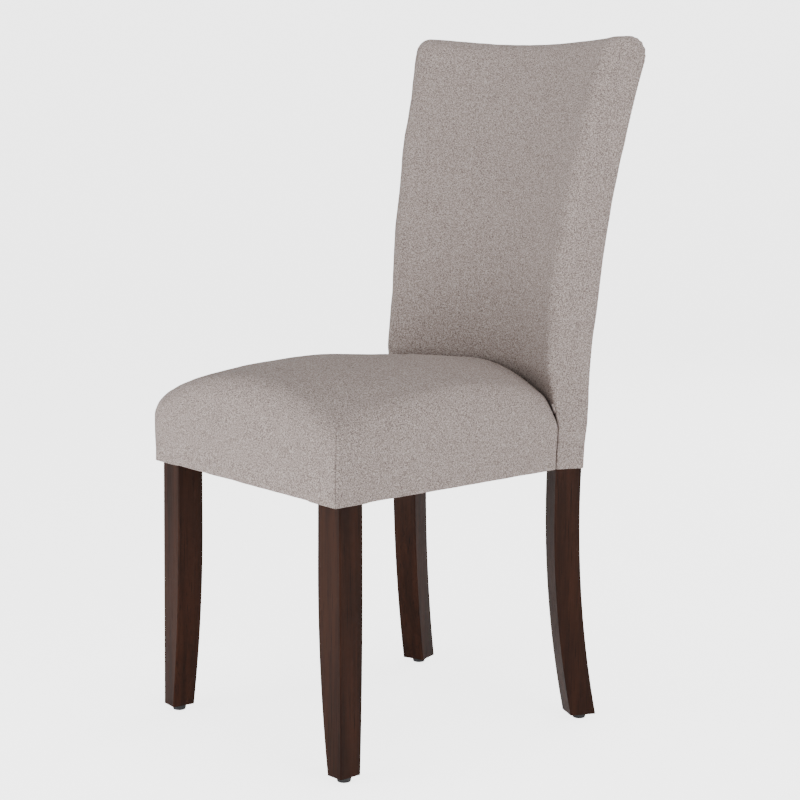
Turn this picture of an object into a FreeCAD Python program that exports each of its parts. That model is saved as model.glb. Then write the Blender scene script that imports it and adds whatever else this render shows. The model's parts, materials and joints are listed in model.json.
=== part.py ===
import FreeCAD, Part
import math
import os

# Upholstered dining chair: a dark wooden frame with sabre-shaped back posts, a padded seat with a
# crowned top and a padded back that is hollowed towards the sitter. All sizes in millimetres.
# Every level of the back lies on a circle about one upright line, the barrel line, in front of the
# seat. While the pieces are made, that line is the Z axis, the floor is z = 0 and the sitter faces -Y.
# At the end everything moves forward, so that the origin is on the floor below the middle of the box.

# Overall places
crest_height = 1018.0        # floor to the crest's two high corners
crest_dip = 9.0              # how far the crest's middle lies below its corners
hem_height = 388.0           # floor to the lower edge of the seat cover
seat_rise = 160.0            # lower edge of the seat cover to the top of the seat
frame_depth = 498.0          # front leg's front face to the posts' rear faces, on the centre line
seat_half_width = 220.0      # centre plane to the front leg's outer front corner

# The back's curve in plan and in side view
barrel_radius = 547.0        # barrel line to the posts' rear faces at the knee
post_turn = 22.5             # degrees from the centre plane to a post's outer face
lean = 2.3                   # degrees that the straight part of the post leans back
knee_height = 400.0          # where the lower sweep meets the straight part
bend_height = 550.0          # where the straight part meets the upper sweep
leg_sweep_radius = 1600.0    # side-view radius of the post below the knee
back_sweep_radius = 1700.0   # side-view radius of the post above the bend

# Back posts
post_depth = 40.0            # front face to rear face
post_width = 42.0            # outer face to inner face at the seat
post_foot_width = 37.0       # the same at the foot
post_head_width = 30.0       # the same at the crest
head_taper_start = 560.0     # height at which the head's taper starts

# Front legs
leg_width = 46.0             # across the chair at the seat
leg_depth = 42.0             # front to back at the seat
leg_foot_width = 29.0
leg_foot_depth = 36.5
leg_taper_start = 300.0      # height at which the curved taper starts
leg_splay = 4.5              # how far the foot's outer face stands out
edge_ease = 1.4              # easing of the long edges of legs and posts

# Seat rails and their blocks
rail_thickness = 22.0
rail_height = 65.4
rail_bottom_gap = 1.6        # hem to the lower edge of the rails
rail_inset = 4.0             # side rail set in from the post's outer corner
block_reach = 112.0          # corner to the inner face of a corner block, along each rail
block_thickness = 30.0
block_height = 44.0
block_drop = 8.0             # rail top to block top

# Rails of the back
back_rail_thickness = 22.0
crest_rail_height = 62.0
crest_rail_drop = 30.0       # crest corners to the rail's upper edge
middle_rail_height = 50.0
middle_rail_share = 0.464    # its place, as a share of the way from the lower to the crest rail
lower_rail_height = 60.0
lower_rail_rise = 105.0      # seat rails' upper edge to the lower rail's middle

# Dowels, bolts, screws and glides
dowel_radius = 4.0
dowel_reach = 18.0           # how far a dowel goes into each piece
dowel_spacing = 34.0
dowel_play = 0.1             # glue gap round a dowel
bolt_radius = 4.0
bolt_into_leg = 26.0
bolt_tail = 14.0             # bolt past the block's inner face
bolt_play = 0.3
washer_radius = 10.0
washer_thickness = 1.6
nut_across_flats = 13.0
nut_thickness = 6.5
screw_radius = 2.2
screw_cover = 6.0            # wood left between a screw's tip and the rail's outer face
screw_head_radius = 4.4
screw_head_height = 2.8
screw_offset = 26.0          # along the block, from its middle
screw_lift = 5.0             # above and below the block's middle, between the dowels
glide_radius = 11.0
glide_foot_radius = 9.4
glide_height = 9.0
glide_round = 2.0
nail_radius = 1.5
nail_length = 22.0           # into the wood
nail_head_radius = 3.6
nail_head_height = 1.2
nail_seat = 3.4              # floor to the top of the nail's head, moulded into the glide

# Webbing
web_thickness = 1.5
web_width = 50.0
seat_webs = 3                # straps each way in the seat
seat_web_pitch = 100.0
web_hold = 14.0              # how far a strap lies on a rail
back_webs = 4
back_web_pitch = 82.0        # along the curve

# Soft layers
fabric = 1.2
snug = 0.3                   # gap between layers that only lie on each other
front_wrap = 11.5            # leg's front face to the outside of the seat cover
side_wrap = 5.3              # leg's outer face to the outside of the seat cover
top_wadding = 6.0
crown_place = 330.0          # front of the seat cover to the highest point
crown_radius_across = 1100.0
crown_radius_along = 2000.0
seat_shoulder = 42.0         # rounding of the seat's upper edges
back_pad = 24.0              # posts' front faces to the outside of the back cover
rear_wadding = 3.5
side_wadding = 3.0
crest_round_rear = 28.0
crest_round_front = 26.0
back_edge_round = 10.0       # rounding round the outline of the back's sides
rear_seam_inset = 9.0        # rear panel's side edges to the back's corners
rear_seam_drop = 42.0        # crest corners to the rear panel's upper edge
hem_turn = 18.0              # seat cover turned under the rails
rear_hem_turn = 12.0         # rear panel turned under the back rail
dust_sheet = 0.5
dust_inset = 8.0

origin = FreeCAD.Vector(0, 0, 0)
upward = FreeCAD.Vector(0, 0, 1)
mirror_normal = FreeCAD.Vector(1, 0, 0)

rail_bottom = hem_height + rail_bottom_gap
rail_top = rail_bottom + rail_height
seat_crown = hem_height + seat_rise
leg_front = barrel_radius - frame_depth
post_front = barrel_radius - post_depth
crest_rail_top = crest_height - crest_dip - crest_rail_drop
crest_rail_place = crest_rail_top - crest_rail_height / 2
lower_rail_place = rail_top + lower_rail_rise
middle_rail_place = lower_rail_place + middle_rail_share * (crest_rail_place - lower_rail_place)


def at(x, y, z=0.0):
    return FreeCAD.Vector(x, y, z)


def mirrored(shape):
    return shape.mirror(origin, mirror_normal)


def one_solid(shape):
    """The largest solid of a boolean's result, cleaned of needless edges."""
    solids = sorted(shape.Solids, key=lambda solid: solid.Volume)
    return solids[-1].removeSplitter()


def prism(points, low, high):
    """An upright prism on a closed outline of (x, y) points."""
    corners = [at(x, y, low) for x, y in points]
    wire = Part.makePolygon(corners + corners[:1])
    return Part.Face(wire).extrude(at(0, 0, high - low))


def sweep_centre(height, radius):
    """Centre, as (set back, height), of a sweep that meets the straight part at a height."""
    tilt = math.radians(lean)
    back = (height - knee_height) * math.tan(tilt)
    return back + radius * math.cos(tilt), height - radius * math.sin(tilt)


def set_back(z):
    """How far the post's rear face lies behind its place at the knee, at height z."""
    if z < knee_height:
        centre, level = sweep_centre(knee_height, leg_sweep_radius)
        return centre - math.sqrt(leg_sweep_radius ** 2 - (z - level) ** 2)
    if z > bend_height:
        centre, level = sweep_centre(bend_height, back_sweep_radius)
        return centre - math.sqrt(back_sweep_radius ** 2 - (z - level) ** 2)
    return (z - knee_height) * math.tan(math.radians(lean))


def side_edges(shift, low, high):
    """Edges of the post's rear curve moved by shift, in the plane x = 0, from low to high."""
    levels = [low] + [z for z in (knee_height, bend_height) if low < z < high] + [high]
    edges = []
    for start, end in zip(levels, levels[1:]):
        middle = (start + end) / 2
        first, centre, last = [
            at(0, barrel_radius + set_back(z) + shift, z) for z in (start, middle, end)
        ]
        straight = knee_height <= start and end <= bend_height
        edges.append(Part.LineSegment(first, last) if straight else Part.Arc(first, centre, last))
    return [edge.toShape() for edge in edges]


def side_face(front, rear, low, high):
    """A side-view strip between two shifts of the post's rear curve."""
    rear_edges = side_edges(rear, low, high)
    front_edges = side_edges(front, low, high)
    foot = Part.makeLine(front_edges[0].Vertexes[0].Point, rear_edges[0].Vertexes[0].Point)
    head = Part.makeLine(front_edges[-1].Vertexes[-1].Point, rear_edges[-1].Vertexes[-1].Point)
    return Part.Face(Part.Wire(Part.__sortEdges__(rear_edges + front_edges + [foot, head])))


def barrel_band(front, rear, low, high, half_angle, middle_angle=0.0):
    """A piece that follows the back's curve, between two shifts and two heights."""
    face = side_face(front, rear, low, high)
    face.rotate(origin, upward, -half_angle - middle_angle)
    return face.revolve(origin, upward, 2 * half_angle)


def long_edges(shape):
    """Edges that run up the piece and are not part of its two ends."""
    low = shape.BoundBox.ZMin + 1
    high = shape.BoundBox.ZMax - 1
    return [
        edge for edge in shape.Edges
        if edge.BoundBox.ZLength > 20 and edge.BoundBox.ZMin < high and edge.BoundBox.ZMax > low
    ]


# Places that several pieces share
turn = math.radians(post_turn)
post_corner = (post_front * math.sin(turn), post_front * math.cos(turn))
rail_rear_x = post_corner[0] - rail_inset
side_turn = math.atan((seat_half_width - rail_rear_x) / (post_corner[1] - leg_front))
inward = (-math.cos(side_turn), -math.sin(side_turn))
rearward = (-math.sin(side_turn), math.cos(side_turn))
post_inward = (-math.cos(turn), math.sin(turn))


def on_leg(across, along):
    """A plan point of the right-hand front leg, from its outer front corner."""
    return (
        seat_half_width + across * inward[0] + along * rearward[0],
        leg_front + across * inward[1] + along * rearward[1],
    )


def side_line_x(y, outside=0.0):
    """Half width at y of the side rail's outer face, moved out square to itself."""
    return seat_half_width - (y - leg_front) * math.tan(side_turn) + outside / math.cos(side_turn)


def tapered_strip(outer, width, foot_width, top):
    """Outline of a leg seen square to one face: straight outside, a curved taper inside.

    outer is how far the foot's outer side stands out; the inner side is an arc that is upright
    where the taper starts. Points are (across, height), across growing inwards.
    """
    drop = leg_taper_start - glide_height
    cut = width - (foot_width - outer)
    radius = (drop ** 2 + cut ** 2) / (2 * cut)
    middle = leg_taper_start - drop / 2
    bow = radius - math.sqrt(radius ** 2 - (drop / 2) ** 2)
    foot_out = at(-outer, 0, glide_height)
    foot_in = at(foot_width - outer, 0, glide_height)
    start = at(width, 0, leg_taper_start)
    lines = [Part.makeLine(at(0, 0, top), at(0, 0, hem_height)),
             Part.makeLine(at(0, 0, hem_height), foot_out),
             Part.makeLine(foot_out, foot_in),
             Part.Arc(foot_in, at(width - bow, 0, middle), start).toShape(),
             Part.makeLine(start, at(width, 0, top)),
             Part.makeLine(at(width, 0, top), at(0, 0, top))]
    return Part.Face(Part.Wire(lines))


def front_leg():
    """Two outlines square to each other, met in one solid and set on the seat's corner."""
    wide = tapered_strip(leg_splay, leg_width, leg_foot_width, rail_top)
    deep = tapered_strip(0, leg_depth, leg_foot_depth, rail_top)
    wide = wide.extrude(at(0, leg_depth, 0))
    deep = deep.extrude(at(0, -2 * leg_width, 0))
    deep.rotate(origin, upward, 90)
    deep.translate(at(-leg_width / 2, 0, 0))
    leg = wide.common(deep).mirror(origin, mirror_normal)
    leg.rotate(origin, upward, math.degrees(side_turn))
    leg.translate(at(seat_half_width, leg_front))
    leg = one_solid(leg)
    return leg.makeChamfer(edge_ease, long_edges(leg))


def back_post():
    """The side profile, met with the outline that is seen square to the post's front face.

    Only the part that shows below the covers has its edges eased.
    """
    head = crest_rail_top
    post = side_face(-post_depth, 0, glide_height, head).extrude(at(-post_width, 0, 0))
    outline = [(post_foot_width - post_width, glide_height), (0, knee_height), (0, head),
               (-post_head_width, head), (-post_width, head_taper_start),
               (-post_width, glide_height)]
    corners = [at(x, 0, z) for x, z in outline]
    front = Part.Face(Part.makePolygon(corners + corners[:1]))
    post = post.common(front.extrude(at(0, 2 * barrel_radius, 0)))
    shown = Part.makeBox(2 * post_width, 2 * barrel_radius, knee_height, at(-1.5 * post_width, 0, 0))
    rear_leg = one_solid(post.common(shown))
    rear_leg = rear_leg.makeChamfer(edge_ease, long_edges(rear_leg))
    post = one_solid(rear_leg.fuse(post.cut(shown)))
    post.rotate(origin, upward, -post_turn)
    return post


def front_rail(legs):
    reach = seat_half_width - leg_width / 2
    outline = [(-reach, leg_front), (reach, leg_front),
               (reach, leg_front + rail_thickness), (-reach, leg_front + rail_thickness)]
    return one_solid(prism(outline, rail_bottom, rail_top).cut(legs))


def side_rail(leg, post):
    start = on_leg(0, leg_depth / 2)
    end = on_leg(0, (post_corner[1] - leg_front) / math.cos(side_turn) + post_depth / 2)
    outline = [start, end]
    for x, y in (end, start):
        outline.append((x + rail_thickness * inward[0], y + rail_thickness * inward[1]))
    return one_solid(prism(outline, rail_bottom, rail_top).cut(leg).cut(post))


def curved_rail(front, low, high, posts):
    """A sawn rail between the posts, its front at a shift of the posts' rear curve."""
    inner_reach = post_turn - math.degrees(math.atan(post_head_width / 2 / post_front))
    band = barrel_band(front, front + back_rail_thickness, low, high, inner_reach)
    return one_solid(band.cut(posts))


def bisector(first, second):
    """Unit vector halfway between two unit vectors, and the unit vector square to it."""
    x = first[0] + second[0]
    y = first[1] + second[1]
    size = math.hypot(x, y)
    return (x / size, y / size), (-y / size, x / size)


class Corner:
    """A seat corner: where a corner block sits across two rails."""

    def __init__(self, place, first, second):
        self.place = place
        self.first = first
        self.second = second
        self.out, self.along = bisector(first, second)
        self.shrink = first[0] * self.out[0] + first[1] * self.out[1]

    def point(self, forward, sideways, z):
        """A point measured from the corner along the bisector and across it."""
        x = self.place[0] + forward * self.out[0] + sideways * self.along[0]
        y = self.place[1] + forward * self.out[1] + sideways * self.along[1]
        return at(x, y, z)

    def inner_face(self):
        return block_reach * self.shrink

    def block(self, neighbours):
        deep = self.inner_face()
        outer = deep - block_thickness
        spread = math.tan(math.acos(self.shrink))
        low = rail_top - block_drop - block_height
        corners = [self.point(forward, sign * forward * spread, low)
                   for forward, sign in ((deep, -1), (deep, 1), (outer, 1), (outer, -1))]
        face = Part.Face(Part.makePolygon(corners + corners[:1]))
        return one_solid(face.extrude(at(0, 0, block_height)).cut(neighbours))

    def rod(self, start, length, radius, sideways, lift):
        """A round bar that starts at a distance from the corner and runs towards the corner."""
        z = rail_top - block_drop - block_height / 2 + lift
        direction = at(-self.out[0], -self.out[1])
        return Part.makeCylinder(radius, length, self.point(start, sideways, z), direction)

    def screw_places(self):
        return [(-screw_offset, screw_lift), (screw_offset, -screw_lift)]

    def screw_length(self):
        """Length from the block's inner face to a tip that stays inside the rail."""
        spread = math.sqrt(1 - self.shrink ** 2)
        tip = (screw_offset * self.shrink + screw_cover) / spread
        return self.inner_face() - tip

    def screw(self, sideways, lift):
        face = self.inner_face()
        length = self.screw_length() + screw_head_height / 2
        shank = self.rod(face + screw_head_height / 2, length, screw_radius, sideways, lift)
        head = self.rod(face + screw_head_height, screw_head_height, screw_head_radius, sideways, lift)
        return one_solid(head.fuse(shank))

    def screw_hole(self, sideways, lift):
        start = self.inner_face() + screw_head_height / 2
        length = self.screw_length() + screw_head_height / 2 + dowel_play
        return self.rod(start, length, screw_radius + dowel_play, sideways, lift)


def hex_nut(corner):
    """A nut on the leg bolt, against its washer."""
    face = corner.inner_face() + washer_thickness
    circle = nut_across_flats / 2 / math.cos(math.radians(30))
    points = [at(circle * math.cos(math.radians(60 * k)), circle * math.sin(math.radians(60 * k)))
              for k in range(6)]
    nut = Part.Face(Part.makePolygon(points + points[:1])).extrude(at(0, 0, nut_thickness))
    nut = nut.cut(Part.makeCylinder(bolt_radius + dowel_play, nut_thickness))
    start = corner.point(face, 0, rail_top - block_drop - block_height / 2)
    turn_to = FreeCAD.Rotation(upward, at(corner.out[0], corner.out[1]))
    nut.Placement = FreeCAD.Placement(start, turn_to)
    return nut


def washer(corner):
    face = corner.inner_face() + washer_thickness
    disc = corner.rod(face, washer_thickness, washer_radius, 0, 0)
    return disc.cut(corner.rod(face + 1, washer_thickness + 2, bolt_radius + bolt_play, 0, 0))


def leg_bolt_span(corner):
    """Start and length of the leg bolt, from its free end to its end inside the leg."""
    leg_corner = math.hypot(leg_width, leg_depth)
    start = corner.inner_face() + washer_thickness + bolt_tail
    return start, start - (leg_corner - bolt_into_leg)


def dowel(place, direction, z):
    """A dowel that goes through a joint's face at a plan point, as far in both directions."""
    axis = at(direction[0], direction[1])
    start = at(place[0], place[1], z) - axis * dowel_reach
    return Part.makeCylinder(dowel_radius, 2 * dowel_reach, start, axis)


def dowel_levels(middle):
    """Heights of the two dowels of a joint."""
    return (middle - dowel_spacing / 2, middle + dowel_spacing / 2)


def dowel_hole(pin):
    """The bore for a dowel, a little wider and longer than the dowel."""
    axis = pin.Faces[0].Surface.Axis
    ends = sorted((vertex.Point.dot(axis) for vertex in pin.Vertexes))
    centre = pin.CenterOfMass
    length = ends[-1] - ends[0] + 2 * dowel_play
    return Part.makeCylinder(dowel_radius + dowel_play, length, centre - axis * (length / 2), axis)


def glide(place):
    x, y = place
    body = Part.makeCone(glide_foot_radius, glide_radius, glide_height, at(x, y, 0))
    rim = [edge for edge in body.Edges if edge.BoundBox.ZMax < 1 and edge.BoundBox.XLength > 2]
    body = body.makeFillet(glide_round, rim)
    return body.cut(nail(place, nail_length, dowel_play))


def nail(place, reach, play=0.0):
    x, y = place
    head = Part.makeCylinder(nail_head_radius + play, nail_head_height,
                             at(x, y, nail_seat - nail_head_height))
    shank = Part.makeCylinder(nail_radius + play, glide_height - nail_seat + reach + 0.2,
                              at(x, y, nail_seat - 0.2))
    return one_solid(head.fuse(shank))


def seat_body(front, side, top, low):
    """The seat's outer form drawn in by front, side and top, down to the height low."""
    y_front = leg_front - front_wrap + front
    y_rear = barrel_radius
    outside = side_wrap - side
    corners = [(-side_line_x(y_front, outside), y_front), (side_line_x(y_front, outside), y_front),
               (side_line_x(y_rear, outside), y_rear), (-side_line_x(y_rear, outside), y_rear)]
    body = prism(corners, low, seat_crown + 1)
    crown_y = leg_front - front_wrap + crown_place
    crown_z = seat_crown - top - crown_radius_along
    crown = Part.makeTorus(crown_radius_along - crown_radius_across, crown_radius_across,
                           at(0, crown_y, crown_z), mirror_normal)
    body = one_solid(body.common(crown))
    shoulder = [edge for edge in body.Edges
                if edge.BoundBox.ZMin > low + 20 and edge.BoundBox.YMin < y_rear - 10]
    return body.makeFillet(seat_shoulder - top, shoulder)


def on_side(edge, reach):
    """Whether an edge lies in one of the back's two side planes."""
    centre = edge.CenterOfMass
    return abs(abs(math.degrees(math.atan2(centre.x, centre.y))) - reach) < 0.01


def crest_edges(body, top):
    """The edges along the back's crest, from the front one to the rear one."""
    level = top - 3 * crest_dip
    edges = [edge for edge in body.Edges
             if edge.BoundBox.ZMin > level and edge.BoundBox.XLength > post_front * math.sin(turn)]
    return sorted(edges, key=lambda edge: edge.CenterOfMass.y)


def back_body(inset, low):
    """The back's outer form drawn in by inset, down to the height low."""
    front = -post_depth - back_pad + inset
    rear = rear_wadding + fabric + snug - inset
    reach = post_turn + math.degrees((side_wadding + fabric - inset) / post_front)
    top = crest_height - inset
    body = barrel_band(front, rear, low, top + crest_dip, reach)
    half = (post_front + set_back(top)) * math.sin(turn) - back_edge_round / 4
    sag_radius = (half ** 2 + crest_dip ** 2) / (2 * crest_dip)
    scoop = Part.makeCylinder(sag_radius, 4 * barrel_radius,
                              at(0, -barrel_radius, top - crest_dip + sag_radius), at(0, 1, 0))
    body = one_solid(body.cut(scoop))
    body = body.makeFillet(crest_round_front - inset, crest_edges(body, top)[:1])
    body = body.makeFillet(crest_round_rear - inset, crest_edges(body, top)[-1:])
    outline = [edge for edge in body.Edges
               if on_side(edge, reach) and edge.BoundBox.ZMin > low - 1
               and edge.BoundBox.ZLength > 20]
    return body.makeFillet(back_edge_round - inset, outline)


def shell_between(outer, inner, low):
    """The skin between two bodies that stand on the same level, open at the foot."""
    walls = [face for body in (outer, inner) for face in body.Faces
             if face.BoundBox.ZMax > low + 1]
    feet = [face for body in (outer, inner) for face in body.Faces
            if face.BoundBox.ZMax < low + 1]
    shell = Part.makeShell(walls + feet[0].cut(feet[1]).Faces)
    shell.sewShape()
    return Part.makeSolid(shell.Shells[0])


def strap(points, thickness, width, across):
    """A flat strap along a line of points in one plane, thick upwards and wide across."""
    upper = [point + at(0, 0, thickness) for point in reversed(points)]
    outline = points + upper
    return Part.Face(Part.makePolygon(outline + outline[:1])).extrude(across * width)


def woven_line(start, end, crossings, over_first):
    """Heights along a strap that passes over and under the straps it crosses."""
    line = [(start, 0.0)]
    flat = web_width / 2 + 3
    over = over_first
    for crossing in crossings:
        height = web_thickness if over else 0.0
        line.append((crossing - flat, height))
        line.append((crossing + flat, height))
        over = not over
    line.append((end, 0.0))
    return line


def seat_webbing(back_rail_front):
    """Straps from front to back and from side to side, woven through each other."""
    middle_y = (leg_front + post_corner[1]) / 2 + rail_thickness / 2
    offsets = [(k - (seat_webs - 1) / 2) * seat_web_pitch for k in range(seat_webs)]
    lengthwise = []
    crosswise = []
    for k, offset in enumerate(offsets):
        end = back_rail_front(abs(offset) + web_width / 2) + web_hold
        start = leg_front + rail_thickness - web_hold
        line = woven_line(start, end, [middle_y + o for o in offsets], k % 2 == 0)
        points = [at(offset - web_width / 2, y, rail_top + z) for y, z in line]
        lengthwise.append(strap(points, web_thickness, web_width, at(1, 0, 0)))
        y = middle_y + offset
        half = side_line_x(y + web_width / 2) - rail_thickness + web_hold
        line = woven_line(-half, half, offsets, k % 2 == 1)
        points = [at(x, y - web_width / 2, rail_top + z) for x, z in line]
        crosswise.append(strap(points, web_thickness, web_width, at(0, 1, 0)))
    return lengthwise, crosswise


def plan_ring(outside, inside, low, high):
    """A flat ring that follows the seat's plan, open towards the back."""
    def outline(offset, front):
        y_front = leg_front - front
        y_rear = post_corner[1]
        return [(-side_line_x(y_front, offset), y_front), (side_line_x(y_front, offset), y_front),
                (side_line_x(y_rear, offset), y_rear), (-side_line_x(y_rear, offset), y_rear)]

    outer = prism(outline(side_wrap - outside, front_wrap - outside), low, high)
    inner = outline(side_wrap - inside, front_wrap - inside)
    inner[2] = (inner[2][0], inner[2][1] + 1)
    inner[3] = (inner[3][0], inner[3][1] + 1)
    return outer.cut(prism(inner, low - 1, high + 1))


shapes = {}

# Wooden frame
leg_right = front_leg()
leg_left = mirrored(leg_right)
post_right = back_post()
post_left = mirrored(post_right)
legs = leg_right.fuse(leg_left)
posts = post_right.fuse(post_left)

rail_front = front_rail(legs)
rail_right = side_rail(leg_right, post_right)
rail_left = mirrored(rail_right)
rail_back = curved_rail(-back_rail_thickness, rail_bottom, rail_top, posts)
rail_lower = curved_rail(-post_depth, lower_rail_place - lower_rail_height / 2,
                         lower_rail_place + lower_rail_height / 2, posts)
rail_middle = curved_rail(-post_depth, middle_rail_place - middle_rail_height / 2,
                          middle_rail_place + middle_rail_height / 2, posts)
rail_crest = curved_rail(-post_depth, crest_rail_top - crest_rail_height, crest_rail_top, posts)

# Corner blocks lie across the rails: the rails' directions at each corner point away from it
front_corner = Corner(on_leg(0, 0), inward, rearward)
rear_corner = Corner(post_corner, post_inward, (-rearward[0], -rearward[1]))
frame_right = [leg_right, post_right, rail_front, rail_right, rail_back]
around = frame_right[0].multiFuse(frame_right[1:])
block_front_right = front_corner.block(around)
block_rear_right = rear_corner.block(around)

# Dowels in the joints of the right-hand half
seat_level = (rail_bottom + rail_top) / 2
half_rail = rail_thickness / 2
leg_inner = on_leg(leg_width, half_rail)
leg_rear = on_leg(half_rail, leg_depth)
rail_end = (post_corner[1] - leg_front) / math.cos(side_turn)
post_joint = on_leg(half_rail, rail_end + half_rail * math.tan(turn + side_turn))
seat_dowels = [dowel(place, direction, z)
               for place, direction in ((leg_inner, inward), (leg_rear, rearward),
                                        (post_joint, rearward))
               for z in dowel_levels(seat_level)]


def width_at(z):
    """Width of a post at a height above the seat."""
    share = max(0.0, (z - head_taper_start) / (crest_rail_top - head_taper_start))
    return post_width - share * (post_width - post_head_width)


def post_dowel(front, z):
    """A dowel through a post's inner face, in the middle of a curved rail's thickness."""
    middle = barrel_radius + set_back(z) + front + back_rail_thickness / 2
    width = width_at(z)
    radius = math.sqrt(middle ** 2 - width ** 2)
    place = (radius * math.sin(turn) + width * post_inward[0],
             radius * math.cos(turn) + width * post_inward[1])
    return dowel(place, post_inward, z)


seat_dowels += [post_dowel(-back_rail_thickness, z) for z in dowel_levels(seat_level)]
back_dowels = [post_dowel(-post_depth, z)
               for level in (lower_rail_place, middle_rail_place, crest_rail_place)
               for z in dowel_levels(level)]

holes = [dowel_hole(pin) for pin in seat_dowels + back_dowels]
screws = []
for corner in (front_corner, rear_corner):
    for place in corner.screw_places():
        screws.append(corner.screw(*place))
        holes.append(corner.screw_hole(*place))
bolt_start, bolt_length = leg_bolt_span(front_corner)
bolt = front_corner.rod(bolt_start, bolt_length, bolt_radius, 0, 0)
holes.append(front_corner.rod(bolt_start, bolt_length + dowel_play, bolt_radius + bolt_play, 0, 0))

foot_back = barrel_radius + set_back(glide_height) - post_depth / 2
foot_in = post_width - post_foot_width / 2
post_foot = (foot_back * math.sin(turn) + foot_in * post_inward[0],
             foot_back * math.cos(turn) + foot_in * post_inward[1])
leg_foot = on_leg(leg_foot_width / 2 - leg_splay, leg_foot_depth / 2)
holes += [nail(place, nail_length + dowel_play, dowel_play) for place in (leg_foot, post_foot)]

drill = holes[0].multiFuse(holes[1:])
drill = drill.fuse(mirrored(drill))


def drilled(shape):
    return one_solid(shape.cut(drill))


shapes["front_leg_right"] = drilled(leg_right)
shapes["front_leg_left"] = drilled(leg_left)
shapes["back_post_right"] = drilled(post_right)
shapes["back_post_left"] = drilled(post_left)
shapes["front_rail"] = drilled(rail_front)
shapes["side_rail_right"] = drilled(rail_right)
shapes["side_rail_left"] = drilled(rail_left)
shapes["back_rail"] = drilled(rail_back)
shapes["lower_back_rail"] = drilled(rail_lower)
shapes["middle_back_rail"] = drilled(rail_middle)
shapes["crest_rail"] = drilled(rail_crest)
shapes["corner_block_front_right"] = drilled(block_front_right)
shapes["corner_block_front_left"] = drilled(mirrored(block_front_right))
shapes["corner_block_rear_right"] = drilled(block_rear_right)
shapes["corner_block_rear_left"] = drilled(mirrored(block_rear_right))


def both_sides(pieces):
    return Part.makeCompound(pieces + [mirrored(piece) for piece in pieces])


shapes["seat_frame_dowels"] = both_sides(seat_dowels)
shapes["back_frame_dowels"] = both_sides(back_dowels)
shapes["corner_block_screws"] = both_sides(screws)
shapes["leg_bolts"] = both_sides([bolt])
shapes["leg_bolt_washers"] = both_sides([washer(front_corner)])
shapes["leg_bolt_nuts"] = both_sides([hex_nut(front_corner)])
shapes["glide_nails"] = both_sides([nail(leg_foot, nail_length), nail(post_foot, nail_length)])
shapes["glide_front_right"] = glide(leg_foot)
shapes["glide_front_left"] = mirrored(glide(leg_foot))
shapes["glide_rear_right"] = glide(post_foot)
shapes["glide_rear_left"] = mirrored(glide(post_foot))

# Webbing


def back_rail_front(x):
    radius = barrel_radius - back_rail_thickness + set_back(rail_top)
    return math.sqrt(radius ** 2 - x ** 2)


lengthwise, crosswise = seat_webbing(back_rail_front)
shapes["seat_webbing_lengthwise"] = Part.makeCompound(lengthwise)
shapes["seat_webbing_crosswise"] = Part.makeCompound(crosswise)

web_low = lower_rail_place - lower_rail_height / 2 + web_hold
web_high = crest_rail_top - web_hold
web_angle = math.degrees(web_width / 2 / post_front)
web_step = math.degrees(back_web_pitch / post_front)
shapes["back_webbing"] = Part.makeCompound([
    barrel_band(-post_depth - web_thickness, -post_depth, web_low, web_high, web_angle,
                (k - (back_webs - 1) / 2) * web_step)
    for k in range(back_webs)
])

# The back's soft layers and covers
foam_foot = rail_top + 2 * web_thickness + snug
below = hem_height - 20
wide = post_turn + 8
skin = shell_between(back_body(0, hem_height), back_body(fabric, hem_height), hem_height)
seat_zone = barrel_band(-post_depth - 2 * back_pad, -post_depth - snug, below, foam_foot, wide)
skin = one_solid(skin.cut(seat_zone))
panel_reach = post_turn - math.degrees(rear_seam_inset / barrel_radius)
panel_top = crest_height - rear_seam_drop
panel_zone = barrel_band(rear_wadding / 2, rear_wadding + 20, below, panel_top, panel_reach)
rear_hem = barrel_band(-rear_hem_turn, rear_wadding + fabric + snug, hem_height,
                       hem_height + fabric, panel_reach)
rear_panel = skin.common(panel_zone).fuse(rear_hem.cut(posts))
shapes["outside_back_cover"] = one_solid(rear_panel)
shapes["inside_back_cover"] = one_solid(skin.cut(panel_zone))

foam_form = back_body(fabric + snug, foam_foot)
frame_zone = barrel_band(-post_depth - web_thickness - snug, 20, below, crest_rail_top + snug, wide)
shapes["back_foam"] = one_solid(foam_form.cut(frame_zone))
wadding_foot = hem_height + fabric + snug
wadding_head = crest_height - crest_dip - 2 * crest_round_rear
wadding_reach = post_turn - math.degrees(back_edge_round / barrel_radius)
shapes["back_wadding"] = barrel_band(snug, rear_wadding, wadding_foot, wadding_head,
                                     wadding_reach)

# The seat's soft layers and cover, which stop at the back
back_limit = back_body(-snug, below)
seat_limit = back_limit.fuse(posts)


def seat_layer(outer, inner):
    return one_solid(outer.cut(inner).cut(seat_limit))


cover_outer = seat_body(0, 0, 0, hem_height)
cover_inner = seat_body(fabric, fabric, fabric, below)
turned_hem = plan_ring(0, hem_turn, hem_height, hem_height + fabric).cut(legs)
cover = one_solid(cover_outer.cut(cover_inner).fuse(turned_hem).cut(seat_limit))
shapes["seat_cover"] = cover.removeSplitter()

layer = fabric + snug
wadding_outer = seat_body(layer, layer, layer, hem_height + layer)
pad_top = layer + top_wadding
pad_inner = seat_body(front_wrap - snug, side_wrap - snug, pad_top, below)
shapes["seat_wadding"] = seat_layer(wadding_outer, pad_inner)

foam_body = seat_body(front_wrap, side_wrap, pad_top + snug, foam_foot)
shapes["seat_foam"] = one_solid(foam_body.cut(seat_limit))

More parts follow.
